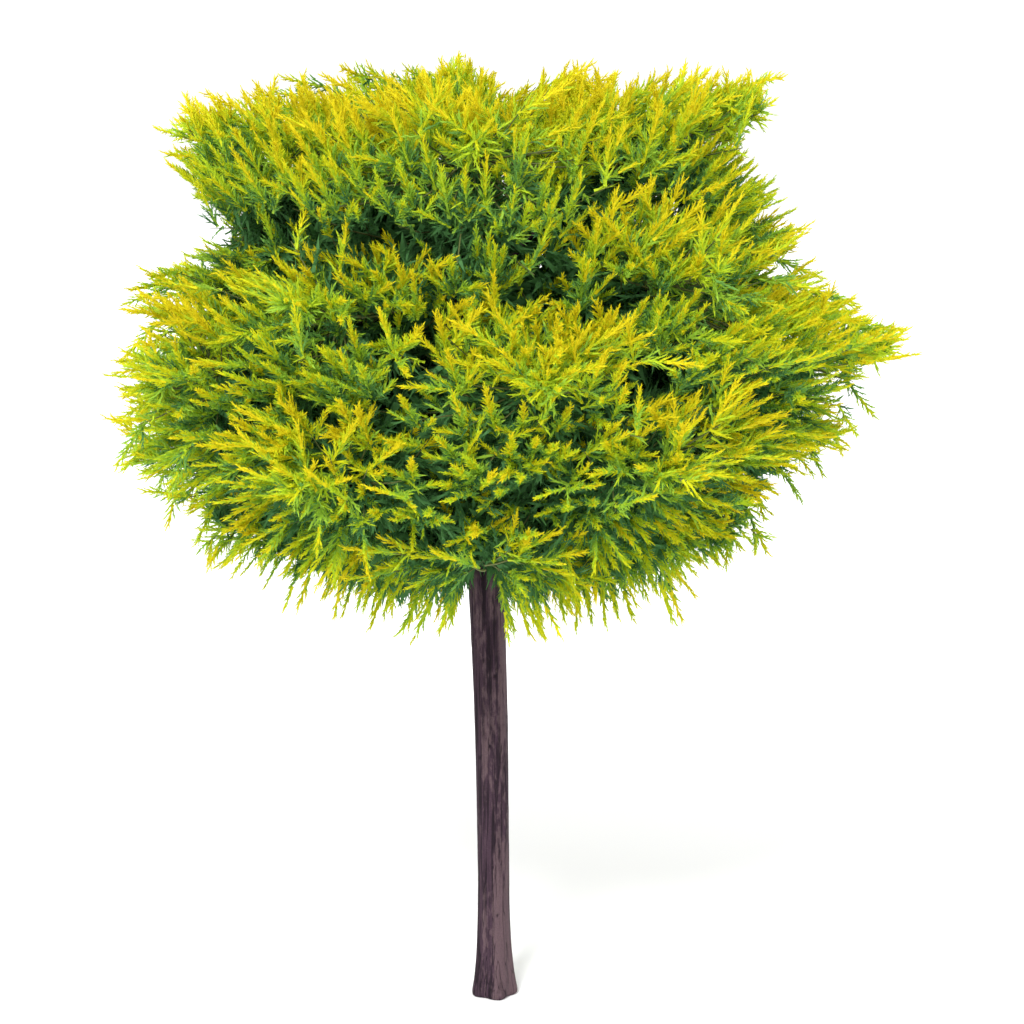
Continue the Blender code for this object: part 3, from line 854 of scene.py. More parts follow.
def fine_twigs(mass):
    """The finer twigs, which go round the stem by the golden turn from behind its foot to its tip."""
    chance = random.Random(mass.seed + FINE_SEED)
    first_turn = chance.uniform(0, 2 * math.pi)
    for k in range(FINE_TWIGS):
        along = (k + chance.uniform(*FINE_PLACES)) / FINE_TWIGS
        share = max(stem_share(mass, blend(FINE_SHARES, along)), LEAST_SHARE)
        forward, side, lift = limb_frame(mass.limb, share)
        turn = first_turn + GOLDEN_TURN * k
        outward = side * math.cos(turn) * mass.half_width + lift * math.sin(turn) * mass.half_height
        outward = outward.normalized()
        spread = math.radians(blend(FINE_SPREADS, along))
        start = limb_point(mass.limb, share)
        aim = with_flow(start, forward * math.cos(spread) + outward * math.sin(spread), TWIG_FLOW)
        across = aim.cross(outward.cross(aim) + UP * SPRAY_LEVELLING).normalized()
        span = room_ahead(mass, start, aim) * chance.uniform(*FINE_SPANS)
        length = min(FINE_LENGTH * chance.uniform(*SIZES), SPRAY_SPAN_SHARE * span)
        tilts = [chance.uniform(-SPRAY_TILT, SPRAY_TILT) for _ in range(3)]
        yield Twig(start, aim, across, span - length * SPRAY_BEYOND_TWIG, length, tilts)


print("twigs a mass:", COARSE_TWIGS, "coarse and", FINE_TWIGS, "fine")

# %% [markdown]
# ## A fan of plumes
#
# A twig ends in a fan of sprays, one straight on and one on each side. The plain model makes each a toothed
# blade. The real thing is a plume: a leading shoot with shorter shoots on either side of it. For now a plume
# is only noted down, with its root, direction, side and length, because most of the work is to find out
# where one may grow. Its shoots and needles come later.

# %% Lay out a fan
FAN_SPRAYS = ((0.0, 0.0, 1.0), (0.75, 0.20, 0.85), (-0.75, 0.35, 0.85))
FULL_GIRTH = 1.0

Plume = namedtuple("Plume", "mass root aim across length girth")


def fan(mass, root, aim, across, length, tilts):
    """One plume straight on and one on each side, which start further back and tilt a little."""
    flat = aim.cross(across)
    plumes = []
    for k, (swing, back, share) in enumerate(FAN_SPRAYS):
        way = (aim * math.cos(swing) + across * math.sin(swing) + flat * tilts[k] / 2).normalized()
        width = across * math.cos(swing) - aim * math.sin(swing) + flat * tilts[k]
        width = (width - way * width.dot(way)).normalized()
        plumes.append(Plume(mass, root - aim * length * back, way, width, length * share, FULL_GIRTH))
    return plumes


print("a fan has", len(FAN_SPRAYS), "plumes")

# %% [markdown]
# ## Where a plume may grow
#
# A plume is kept only where its tip is inside the crown's outline and its body is in its own mass's space and
# off bare wood. Noise moves the limit in and out by a few centimetres, which makes the outline ragged. Full
# and rising plumes stop a little short of the outline, slim ones pass it a little and hanging ones more. Tips
# that would end deep in the crown are left out, since nobody sees them. Full plumes also stop above the
# fringe at the bottom, and nothing hangs in front of the top of the trunk, where this crown parts.

# %% Test a plume
FAN_CHECK = ((0.45, 0.16), (0.45, -0.16), (0.8, 0.0), (1.0, 0.0))
OUTLINE_SHARE = 0.97
FINGER_SHARE = 1.015
HANG_SHARE = 1.07
HIDDEN_SHARE = 0.67
RISING = 0.35
HANGING = -0.7
OUTLINE_RAGGED = 0.10
RAGGED_SCALE = 35.0
FRINGE_TOP = 0.775
PARTING_MIDDLE = -0.014
PARTING_HALF = 0.045
PARTING_TOP = 0.85


def outline_limit(plume):
    """The share of the crown's outline that the plume's tip has to keep to."""
    ragged = OUTLINE_RAGGED * noise.noise(plume.root * RAGGED_SCALE)
    if plume.aim.z < HANGING:
        return ragged + HANG_SHARE
    stops_short = plume.girth == FULL_GIRTH or plume.aim.z > RISING
    return ragged + (OUTLINE_SHARE if stops_short else FINGER_SHARE)


def before_trunk(tip):
    """Whether a tip hangs in front of the top of the trunk."""
    return tip.y < 0 and tip.z < PARTING_TOP and abs(tip.x - PARTING_MIDDLE) < PARTING_HALF


def fitting(plumes):
    """The plumes that keep to the outline, to their mass's space and off the limbs."""
    kept = []
    for plume in plumes:
        tip = plume.root + plume.aim * plume.length
        if not in_crown(tip, outline_limit(plume)) or in_crown(tip, HIDDEN_SHARE):
            continue
        if before_trunk(tip) or (plume.girth == FULL_GIRTH and tip.z < FRINGE_TOP):
            continue
        spots = [plume.root + (plume.aim * u + plume.across * v) * plume.length for u, v in FAN_CHECK]
        if is_free(spots, borders[plume.mass.name], stretches):
            kept.append(plume)
    return kept


print("tips end between", HIDDEN_SHARE, "and about", HANG_SHARE, "of the outline")

# %% [markdown]
# ## Fingers, hanging plumes and plumes on the way
#
# Against the sky the crown ends in single slim fingers, so each fan that fits gets one: a slimmer plume
# straight on, as long as the outline allows. Low twigs also get slim plumes that hang, which turn the crown's
# lower edge into a fringe. Up to four more plumes leave a twig along its way, left and right in turn, or the
# crown would be a shell of fans with nothing behind it.

# %% The other plumes of a twig
PLUME_FLOW = 0.45
FINGER_SIZES = (1.35, 1.2, 1.08)
FINGER_GIRTH = 0.68
HANG_BELOW = 0.92
HANG_FROM = 0.45
HANG_OUT = 0.7
HANG_LENGTH = 0.14
BESIDE_SHARES = (0.42, 0.58, 0.74, 0.90)
BESIDE_TURNS = (0.9, -0.7, -0.3, 1.2)
BESIDE_START = 0.04
BESIDE_SWING = 0.75
BESIDE_LENGTH = 0.90
BESIDE_FLOW = 0.35


def fan_and_finger(mass, root, aim, across, length, tilts):
    """The fan that fits there, with one slimmer and longer plume straight on where the outline has room."""
    aim = with_flow(root, aim, PLUME_FLOW)
    across = (across - aim * across.dot(aim)).normalized()
    kept = fitting(fan(mass, root, aim, across, length, tilts))
    if kept:
        for size in FINGER_SIZES:
            finger = fitting([Plume(mass, root, aim, across, length * size, FINGER_GIRTH)])
            if finger:
                return kept + finger
    return kept


def hanging_plume(mass, root, aim, size):
    """The slim plume that hangs from a low twig, where one fits."""
    if root.z < HANG_BELOW and not in_crown(root, HANG_FROM):
        way = (aim * HANG_OUT - UP).normalized()
        across = way.cross(aim.cross(UP).normalized()).normalized()
        return fitting([Plume(mass, root, way, across, HANG_LENGTH * size, FINGER_GIRTH)])
    return []


def plumes_beside(mass, twig, reach, length):
    """The plumes that leave a twig along its way, left and right in turn."""
    flat = twig.aim.cross(twig.across)
    for k, share in enumerate(BESIDE_SHARES):
        if reach * share > BESIDE_START:
            hand = 1 if k % 2 else -1
            out = twig.across * hand * math.cos(BESIDE_TURNS[k]) + flat * math.sin(BESIDE_TURNS[k])
            root = twig.start + twig.aim * reach * share
            way = twig.aim * math.cos(BESIDE_SWING) + out * math.sin(BESIDE_SWING)
            way = with_flow(root, way, BESIDE_FLOW)
            width = way.cross(twig.aim.cross(out)).normalized()
            yield Plume(mass, root, way, width, length * BESIDE_LENGTH, FULL_GIRTH)


print("a plume may leave a twig at", len(BESIDE_SHARES), "places on its way")

# %% [markdown]
# ## Plumes on every twig
#
# A twig is tried at its largest size first, and is made smaller until its fan fits, so the foliage fills a
# space of any shape without a formula for that space. A full plume never grows past ten centimetres, about
# what such a plant puts on in a year: what a large try would add to it goes into the twig instead.

# %% From twigs to plumes
TOP_PLUME = 0.09
TIP_TILTS = (0.0, 0.2, -0.2)
COARSE_TRIES = (1.25, 1.1, 0.95, 0.8, 0.65, 0.5)
FINE_TRIES = (1.7, 1.55, 1.4, 1.25, 1.1, 0.95, 0.8, 0.65, 0.5)
LONGEST_PLUME = 0.10
SHORTEST_PLUME = 0.02
TWIG_INTO_SPRAY = 0.15
SECOND_HANGS_AT = 0.72


def grow(mass, twig, tries):
    """The plumes of one twig at the largest size whose fan fits, and the twig's line as [(start, end)]."""
    for size in tries:
        length = min(twig.length * size, LONGEST_PLUME)
        reach = twig.reach * size + (twig.length * size - length) * SPRAY_BEYOND_TWIG
        end = twig.start + twig.aim * reach
        kept = fan_and_finger(mass, end, twig.aim, twig.across, length, twig.tilts)
        if kept:
            line = (twig.start, kept[0].root + twig.aim * length * TWIG_INTO_SPRAY)
            kept += fitting(plumes_beside(mass, twig, reach, length))
            kept += hanging_plume(mass, end, twig.aim, 1 + twig.tilts[0])
            second = twig.start.lerp(end, SECOND_HANGS_AT)
            kept += hanging_plume(mass, second, twig.aim, 1 + twig.tilts[1])
            return kept, [line]
    return [], []


def plumes_and_twigs(mass):
    """All the plumes of a mass, and the lines of its twigs."""
    share = stem_end(mass)
    aim, side, _ = limb_frame(mass.limb, share)
    root = limb_point(mass.limb, share) - aim * STEM_INTO_SPRAY
    plumes = fan_and_finger(mass, root, aim, side, TOP_PLUME, TIP_TILTS)
    lines = []
    twigs = [(COARSE_TRIES, twig) for twig in coarse_twigs(mass)]
    twigs += [(FINE_TRIES, twig) for twig in fine_twigs(mass)]
    for tries, twig in twigs:
        if twig.length >= SHORTEST_PLUME:
            more_plumes, line = grow(mass, twig, tries)
            plumes += more_plumes
            lines += line
    return plumes, lines


plumes, twig_lines, lines_of = [], [], {}
for mass in masses:
    more_plumes, more_lines = plumes_and_twigs(mass)
    plumes += more_plumes
    twig_lines += more_lines
    lines_of[mass.name] = more_lines
print(len(plumes), "plumes on", len(twig_lines), "twigs")

# %% [markdown]
# ## Twigs towards the light
#
# A conifer leaves no hole in the surface of its crown: where light falls in, the nearest twig soon fills the
# gap. So six thousand spots are spread evenly over the outline, a little inside it, and each one that no
# plume is near gets one more twig. It starts from the nearest stem whose own space holds the spot, and ends
# in a fan like the rest. A second layer of spots lies deeper, and a gap there gets a single plume.

# %% Fill the gaps in the surface
SPOTS = 6000
SPOT_LAYERS = ((0.93, 0.042), (0.78, 0.050))
NEAREST_MASSES = 3
SEEKER_FLOW = 0.55
SEEKER_TILT = 0.5
SEEKER_LENGTH = 0.075
SEEKER_SEED = 2
HALVINGS = 12
STEM_SAMPLES = 14
SAMPLES_BACK = 2


def outline_spots(size):
    """Points spread evenly by their direction from the crown's heart, on the outline drawn in to a size."""
    for k in range(SPOTS):
        level = 1 - 2 * (k + 0.5) / SPOTS
        flat = math.sqrt(1 - level * level)
        away = Vector((flat * math.cos(GOLDEN_TURN * k), flat * math.sin(GOLDEN_TURN * k), level))
        near, far = 0.0, 1.0
        for _ in range(HALVINGS):
            middle = (near + far) / 2
            if in_crown(CROWN_HEART + away * middle, size):
                near = middle
            else:
                far = middle
        yield CROWN_HEART + away * near


def stem_samples(mass):
    last = (stem_end(mass) - mass.bare) / (1 - mass.bare)
    shares = [last * (k + 1) / STEM_SAMPLES for k in range(STEM_SAMPLES)]
    return [limb_point(mass.limb, stem_share(mass, share)) for share in shares]


def seeker(spot, samples, chance, outermost):
    """The plumes and the twig that fill the crown at a spot: a fan at the surface, or one plume deeper in."""
    ranked = sorted(masses, key=lambda mass: min((point - spot).length for point in samples[mass.name]))
    for mass in ranked[:NEAREST_MASSES]:
        distances = [(point - spot).length for point in samples[mass.name]]
        nearest = max(distances.index(min(distances)) - SAMPLES_BACK, 0)
        start = samples[mass.name][nearest]
        aim = with_flow(spot, (spot - start).normalized(), SEEKER_FLOW)
        tilt = [chance.uniform(-SEEKER_TILT, SEEKER_TILT) for _ in range(2)]
        across = aim.cross(UP + Vector((*tilt, 0.0))).normalized()
        length = min(SEEKER_LENGTH * chance.uniform(*SIZES), SPRAY_SPAN_SHARE * (spot - start).length)
        root = spot - aim * length
        if outermost:
            kept = fan_and_finger(mass, root, aim, across, length, TIP_TILTS)
        else:
            kept = fitting([Plume(mass, root, aim, across, length, FULL_GIRTH)])
        if kept:
            return mass, kept, (start, kept[0].root + aim * length * TWIG_INTO_SPRAY)
    return None, [], None


def plume_middle(plume):
    return plume.root + plume.aim * plume.length / 2


samples = {mass.name: stem_samples(mass) for mass in masses}
middles = np.array([plume_middle(plume) for plume in plumes])
chance = random.Random(SEED + SEEKER_SEED)
for layer, (size, spacing) in enumerate(SPOT_LAYERS):
    seekers = 0
    for spot in outline_spots(size):
        if np.linalg.norm(middles - np.array(spot), axis=1).min() > spacing:
            mass, kept, line = seeker(spot, samples, chance, layer == 0)
            if kept:
                plumes += kept
                twig_lines.append(line)
                lines_of[mass.name].append(line)
                middles = np.vstack([middles, [plume_middle(plume) for plume in kept]])
                seekers += 1
    print(seekers, "twigs more at", size, "of the crown, which makes", len(plumes), "plumes")

# %% [markdown]
# ## Shoots of a plume
#
# The shoots stand along the plume's axis, left and right in turn. The first ones are long and open and the
# last ones short and close, so the plume narrows to a finger. Every third shoot rises out of the plume's
# plane, because a juniper's sprays are bushy and not flat like a fern. Two leading shoots carry the axis on
# to its tip. The axis bows a little, up or down, so that no two plumes are quite alike.

# %% Lay out the shoots
SIDE_SHOOTS = 12
SIDE_PLACES = (0.05, 0.92)
SIDE_ANGLES = (34, 18)
ANGLE_VARIATION = 6
SIDE_LENGTHS = (0.38, 0.20)
LENGTH_VARIATION = 0.14
RISING_EVERY = 3
RISING_TILT = 46
RISING_VARIATION = 20
LEVEL_TILT = 16
LEADING_SHOOTS = ((0.02, 0.52), (0.50, 0.50))
PLUME_BOW = 0.10
Shoot = namedtuple("Shoot", "foot aim side length along plume")


def plume_shoots(plume, chance):
    """The shoots of one plume, from its root to its tip."""
    flat = plume.aim.cross(plume.across)
    if flat.z < 0:
        flat = -flat
    bow = chance.uniform(-PLUME_BOW, PLUME_BOW)

    def axis(u):
        return plume.root + (plume.aim * u + flat * bow * u * u) * plume.length

    hand = chance.choice((-1, 1))
    for k in range(SIDE_SHOOTS):
        share = k / (SIDE_SHOOTS - 1)
        u = blend(SIDE_PLACES, share)
        hand = -hand
        swing = blend(SIDE_ANGLES, share) + chance.uniform(-ANGLE_VARIATION, ANGLE_VARIATION)
        angle = math.radians(swing)
        tilt = math.radians(chance.uniform(-LEVEL_TILT, LEVEL_TILT))
        if k % RISING_EVERY == RISING_EVERY - 1:
            tilt = math.radians(RISING_TILT + chance.uniform(-RISING_VARIATION, RISING_VARIATION))
        out = plume.across * hand * math.cos(tilt) + flat * math.sin(tilt)
        along = (plume.aim + flat * 2 * bow * u).normalized()
        aim = (along * math.cos(angle) + out * math.sin(angle)).normalized()
        length = plume.length * plume.girth * blend(SIDE_LENGTHS, share)
        length *= chance.uniform(1 - LENGTH_VARIATION, 1 + LENGTH_VARIATION)
        yield Shoot(axis(u), aim, aim.cross(flat).normalized(), length, u, plume)
    for u, share in LEADING_SHOOTS:
        aim = (axis(u + share) - axis(u)).normalized()
        yield Shoot(axis(u), aim, aim.cross(flat).normalized(), plume.length * share, u + share, plume)


chance = random.Random(SEED)
shoots = [shoot for plume in plumes for shoot in plume_shoots(plume, chance)]
print(len(shoots), "shoots on the plumes")

# %% [markdown]
# ## Shoots along the twigs
#
# A real crown is opaque, because behind its plumes there is always more foliage. All of it would cost
# millions of needles that nobody sees. So the twigs deep in the crown carry fewer but long and coarse
# shoots, which close it against the light and are longest round its heart. Nearer the outline only every
# fourth place gets a shoot, a short one, and so do the last two before the fan, to dress the bare wood.

# %% Shoots on twigs and stems
INNER_SHOOTS = 14
INNER_PLACES = (0.02, 0.92)
INNER_LENGTH = 0.062
INMOST_LENGTH = 0.105
INMOST_REACH = 0.66
INNER_REACH = 0.81
INNER_ROOF = 0.07
DRESS_LENGTH = 0.034
DRESS_ALONG = 0.45
DRESSED_EVERY = 4
DRESSED_LAST = 2
STEM_DRESSED = 0.02
STEM_PARTS = 8


def is_dressed(k):
    """Whether the place on a twig that is number k gets a short shoot near the outline."""
    return k % DRESSED_EVERY == DRESSED_EVERY - 1 or k >= INNER_SHOOTS - DRESSED_LAST


def shoots_on_twigs(mass, lines, chance):
    """The shoots along a mass's twigs, each with whether it is a deep one."""
    for start, end in lines:
        aim = (end - start).normalized()
        side = aim.orthogonal().normalized()
        first = chance.uniform(0, 2 * math.pi)
        for k in range(INNER_SHOOTS):
            out = Matrix.Rotation(first + GOLDEN_TURN * k, 3, aim) @ side
            way = (aim + out).normalized()
            foot = start.lerp(end, blend(INNER_PLACES, (k + 0.5) / INNER_SHOOTS))
            size = chance.uniform(*SIZES)
            deep_length = INMOST_LENGTH if in_crown(foot + UP * INNER_ROOF, INMOST_REACH) else INNER_LENGTH
            deep = in_crown(foot + way * deep_length * size + UP * INNER_ROOF, INNER_REACH)
            if not deep and not is_dressed(k):
                continue
            length = size * (deep_length if deep else DRESS_LENGTH)
            tip = foot + way * length
            if not before_trunk(tip) and is_free([tip], borders[mass.name], stretches):
                plume = Plume(mass, foot, way, out, length, FULL_GIRTH)
                yield deep, Shoot(foot, way, way.cross(out).normalized(), length, DRESS_ALONG, plume)


def stem_lines(mass):
    """The stem inside a mass as short lines, so that shoots dress it too."""
    ends = (stem_share(mass, STEM_DRESSED), stem_end(mass))
    spots = [limb_point(mass.limb, blend(ends, k / STEM_PARTS)) for k in range(STEM_PARTS + 1)]
    return list(zip(spots, spots[1:]))


on_twigs = []
for mass in masses:
    on_twigs += shoots_on_twigs(mass, lines_of[mass.name] + stem_lines(mass), chance)
inner = [shoot for deep, shoot in on_twigs if deep]
shoots += [shoot for deep, shoot in on_twigs if not deep]
print(len(inner), "deep shoots on the twigs and", len(on_twigs) - len(inner), "short ones")
average = sum(shoot.length for shoot in shoots) / len(shoots)
print(len(shoots), "shoots besides the deep ones, on average", round(1000 * average), "mm long")

# %% [markdown]
# ## Trees that grow things
#
# A hundred thousand shoots are too many to set out corner by corner in a script, and repeating is what
# Geometry Nodes are for. Each tree gets named inputs, so that one tree serves several sizes, and ends in
# Realize Instances and Set Material, because an export keeps only real faces. It is run on a mesh once, and
# the result is kept as a plain mesh without the modifier.

# %% Build and run a tree
def new_tree(name, inputs):
    """A Geometry Nodes tree with named inputs, as (name, kind of socket), and one Geometry output."""
    tree = bpy.data.node_groups.new(name, "GeometryNodeTree")
    for title, kind in inputs:
        tree.interface.new_socket(name=title, in_out="INPUT", socket_type=kind)
    tree.interface.new_socket(name="Geometry", in_out="OUTPUT", socket_type="NodeSocketGeometry")
    entry = tree.nodes.new("NodeGroupInput")
    return tree, Wire(tree), {title: Wire(tree, entry.outputs[title]) for title, _ in inputs}


def end_tree(tree, geometry, material):
    """Ends a tree in Realize Instances and Set Material."""
    real = geometry.node("GeometryNodeRealizeInstances", None, {"Geometry": geometry})
    dressed = geometry.node("GeometryNodeSetMaterial", None, {"Geometry": real, "Material": material})
    leave = tree.nodes.new("NodeGroupOutput")
    tree.links.new(dressed.socket, leave.inputs["Geometry"])


def evenly(start, bounds, seed):
    """A random number between two bounds for each element."""
    low, high = bounds
    return start.node("FunctionNodeRandomValue", {"data_type": "FLOAT"}, {2: low, 3: high, 8: seed}, 1)


def run_tree(name, mesh, tree, values):
    """Runs a tree on a mesh and returns a plain mesh object. Sockets' identifiers set the inputs."""
    piece = bpy.data.objects.new(name, mesh)
    modifier = piece.modifiers.new("grow", "NODES")
    modifier.node_group = tree
    for item in tree.interface.items_tree:
        if item.in_out == "INPUT" and item.name in values:
            modifier[item.identifier] = values[item.name]
    link(piece)
    graph = bpy.context.evaluated_depsgraph_get()
    result = bpy.data.meshes.new_from_object(piece.evaluated_get(graph))
    piece.modifiers.clear()
    piece.data = result
    result.name = name
    return piece


print("ready to grow trees")

# %% [markdown]
# ## A needle and a shoot of needles
#
# A real shoot is a thin stem closed in by hundreds of scales and awls of 1 to 3 mm. A crown of a hundred
# thousand shoots can't carry so many, so a shoot here is a slim three-sided core with six to nine needles,
# larger than life. Each is one triangle in a needle's own outline, broad at its foot and drawn out to a
# point. In the tree a line of points carries a needle each. Each is turned by its place in the line, and the
# ones near the shoot's foot are longest and lean out most.

# %% The needle and the shoot tree
CORE_SIDES = 3
SPREAD_AT_FOOT = 1.15
SPREAD_LESS_AT_TIP = 0.75
SPREAD_VARIATION = (0.75, 1.25)
SIZE_AT_FOOT = 1.05
SIZE_LESS_AT_TIP = 0.45
SIZE_VARIATION = (0.8, 1.15)


def needle_object(name, width):
    """A needle of length 1 along Z."""
    mesh = bpy.data.meshes.new(name)
    mesh.from_pydata([(-width / 2, 0, 0), (width / 2, 0, 0), (0, 0, 1)], [], [(0, 1, 2)])
    return link(bpy.data.objects.new(name, mesh))


def shoot_tree():
    tree, start, given = new_tree("shoot_of_needles", [
        ("Needle", "NodeSocketObject"), ("Length", "NodeSocketFloat"), ("Needles", "NodeSocketInt"),
        ("Needle Length", "NodeSocketFloat"), ("Spread", "NodeSocketFloat"), ("Core", "NodeSocketFloat"),
        ("Seed", "NodeSocketInt"), ("Material", "NodeSocketMaterial")])
    step = start.node("ShaderNodeCombineXYZ", None, {"Z": given["Length"] / given["Needles"]})
    line = start.node("GeometryNodeMeshLine", {"mode": "OFFSET"}, {"Count": given["Needles"], "Offset": step})
    index = start.node("GeometryNodeInputIndex")
    share = index / given["Needles"]
    turn = index * GOLDEN_TURN
    tilt = given["Spread"] * (SPREAD_AT_FOOT - share * SPREAD_LESS_AT_TIP)
    tilt = tilt * evenly(start, SPREAD_VARIATION, given["Seed"])
    size = given["Needle Length"] * (SIZE_AT_FOOT - share * share * SIZE_LESS_AT_TIP)
    size = size * evenly(start, SIZE_VARIATION, given["Seed"] + 1)
    angles = start.node("ShaderNodeCombineXYZ", None, {"X": tilt, "Z": turn})
    rotation = start.node("FunctionNodeEulerToRotation", None, {"Euler": angles})
    needle = start.node("GeometryNodeObjectInfo", None, {"Object": given["Needle"]}, "Geometry")
    placed = start.node("GeometryNodeInstanceOnPoints", None, {
        "Points": line, "Instance": needle, "Rotation": rotation, "Scale": size})
    core = start.node("GeometryNodeMeshCone", {"fill_type": "NONE"}, {
        "Vertices": CORE_SIDES, "Radius Top": 0.0, "Radius Bottom": given["Core"],
        "Depth": given["Length"]}, "Mesh")
    both = start.node("GeometryNodeJoinGeometry", None, {"Geometry": placed})
    tree.links.new(core.socket, both.socket.node.inputs["Geometry"])
    end_tree(tree, both, given["Material"])
    return tree


needles_on_shoots = shoot_tree()
print("the shoot tree has", len(needles_on_shoots.nodes), "nodes")

# %% [markdown]
# ## Three kinds of shoot
#
# The outer shoots are fine, those behind them a little coarser, and the ones of the shade have more needles,
# which stand out wider to close the gaps. Each kind is grown in three variants, so that neighbours differ.
# These are prototypes, so they are taken out of the scene and kept in a collection of their own.

# %% Grow the prototypes
UNIT_LENGTH = 0.036
CORE_LENGTH_SHARE = 0.9
CORE_RADIUS = 0.0026
VARIANTS = 3
SEEDS_APART = 10
ShootKind = namedtuple("ShootKind", "needles needle_length needle_width spread")
SHOOT_KINDS = {
    "fine": ShootKind(7, 0.0140, 0.285, 0.46),
    "middle": ShootKind(6, 0.0150, 0.310, 0.50),
    "coarse": ShootKind(9, 0.0160, 0.270, 0.75),
}

spare = bpy.data.materials.new("spare")
kinds = {}
for name, kind in SHOOT_KINDS.items():
    needle = needle_object(f"needle_{name}", kind.needle_width)
    kinds[name] = bpy.data.collections.new(f"shoots_{name}")
    for variant in range(VARIANTS):
        start_mesh = bpy.data.meshes.new("start")
        shoot = run_tree(f"shoot_{name}_{variant}", start_mesh, needles_on_shoots, {
            "Needle": needle, "Length": UNIT_LENGTH * CORE_LENGTH_SHARE, "Needles": kind.needles,
            "Needle Length": kind.needle_length, "Spread": kind.spread, "Core": CORE_RADIUS,
            "Seed": SEEDS_APART * variant, "Material": spare})
        bpy.context.scene.collection.objects.unlink(shoot)
        kinds[name].objects.link(shoot)
    bpy.data.objects.remove(needle)
    print("a", name, "shoot has", len(shoot.data.polygons), "triangles")

# %% [markdown]
# ## Tints
#
# Seen close, the golden colour is never one yellow: the tips that the sun reaches are clear yellow, behind
# them the shoots turn lime and then grass green, and in the shade of the mass they are blue-green. A colour
# that has its place like this is dealt out shoot by shoot as plain base colours. A shoot's score rises with
# how far out it stands in the crown and in its mass, how high in its mass, and how near its plume's tip. The
# low front, which the sun hardly reaches, gets a little more: painted light that lifts its shade. Noise makes
# patches that run into each other. The deep shoots all take the darkest tint. Light shines through young
# needles, so each tint mixes in some translucency.

# %% Tints and their scores
Tint = namedtuple("Tint", "name share kind colour")
TINTS = (
    Tint("shade", 0.07, "coarse", (0.085, 0.225, 0.072)),
    Tint("deep", 0.15, "middle", (0.170, 0.365, 0.075)),
    Tint("green", 0.25, "middle", (0.345, 0.555, 0.052)),
    Tint("lime", 0.24, "fine", (0.520, 0.670, 0.030)),
    Tint("yellow", 0.19, "fine", (0.675, 0.695, 0.016)),
    Tint("gold", 0.10, "fine", (0.775, 0.680, 0.015)),
)
TINT_SEED = 1
CROWN_HALF = (0.66, 0.62, 0.46)
CROWN_WEIGHT = 0.45
OUT_WEIGHT = 0.4
HIGH_WEIGHT = 0.32
TIP_WEIGHT = 1.0
LOW_FRONT = Vector((0.0, -0.95, -0.31))
FRONT_PAINTED_LIGHT_WEIGHT = 0.10
PATCH_WEIGHT = 0.40
PATCH_SCALE = 12.0
SHOOT_WEIGHT = 0.25
NEEDLE_ROUGHNESS = 0.6
NEEDLE_SHEEN = 0.1
TRANSLUCENCY = 0.24


def needle_material(name, colour):
    material = plain_material(name, colour, NEEDLE_ROUGHNESS)
    tree = material.node_tree
    principled = tree.nodes["Principled BSDF"]
    principled.inputs["Specular IOR Level"].default_value = NEEDLE_SHEEN
    shader = Wire(tree, principled.outputs["BSDF"])
    through = shader.node("ShaderNodeBsdfTranslucent", None, {"Color": (*colour, 1.0)})
    both = shader.node("ShaderNodeMixShader", None, {0: TRANSLUCENCY, 1: shader, 2: through})
    tree.links.new(both.socket, tree.nodes["Material Output"].inputs["Surface"])
    return material


def shoot_score(shoot, chance):
    """How golden a shoot is: low in the shade, high at the sunlit tips."""
    middle, axes = mass_axes(shoot.plume.mass)
    tip = shoot.foot + shoot.aim * shoot.length
    offset = [(tip - middle).dot(direction) / half for direction, half in axes]
    out = math.sqrt(sum(value * value for value in offset))
    in_all = math.sqrt(sum((here / half) ** 2 for here, half in zip(tip - CROWN_HEART, CROWN_HALF)))
    to_front = (tip - CROWN_HEART).normalized().dot(LOW_FRONT)
    score = CROWN_WEIGHT * in_all + OUT_WEIGHT * out + HIGH_WEIGHT * offset[2] + TIP_WEIGHT * shoot.along
    # Painted light: the low front, which the sun hardly reaches, is scored more golden to lift its shade.
    score += FRONT_PAINTED_LIGHT_WEIGHT * to_front
    score += PATCH_WEIGHT * noise.noise(tip * PATCH_SCALE)
    return score + SHOOT_WEIGHT * chance.uniform(-1, 1)


def deal_tints(shoots, inner):
    """The shoots of each tint, in the order of their masses: each tint takes its share by rising score."""
    chance = random.Random(SEED + TINT_SEED)
    scores = [shoot_score(shoot, chance) for shoot in shoots]
    order = sorted(range(len(shoots)), key=scores.__getitem__)
    dealt, first = {}, 0
    for tint in TINTS:
        last = first + round(tint.share * len(shoots))
        dealt[tint.name] = [shoots[k] for k in sorted(order[first:last])]
        first = last
    dealt[TINTS[0].name] += inner
    return dealt


dealt = deal_tints(shoots, inner)
print({name: len(rows) for name, rows in dealt.items()})

# %% [markdown]
# ## Needles on every shoot
#
# A second tree sets a whole shoot of needles on each point of a cloud, turned by the point's own direction
# and scaled by its own size. A short shoot keeps more of its girth than of its length, so that it doesn't
# thin out to nothing. Each tint is cut into pieces that stay under two hundred thousand triangles.

# %% The tree and its cloud of points
PIECE_TRIANGLES = 190000
GIRTH_POWER = 0.5


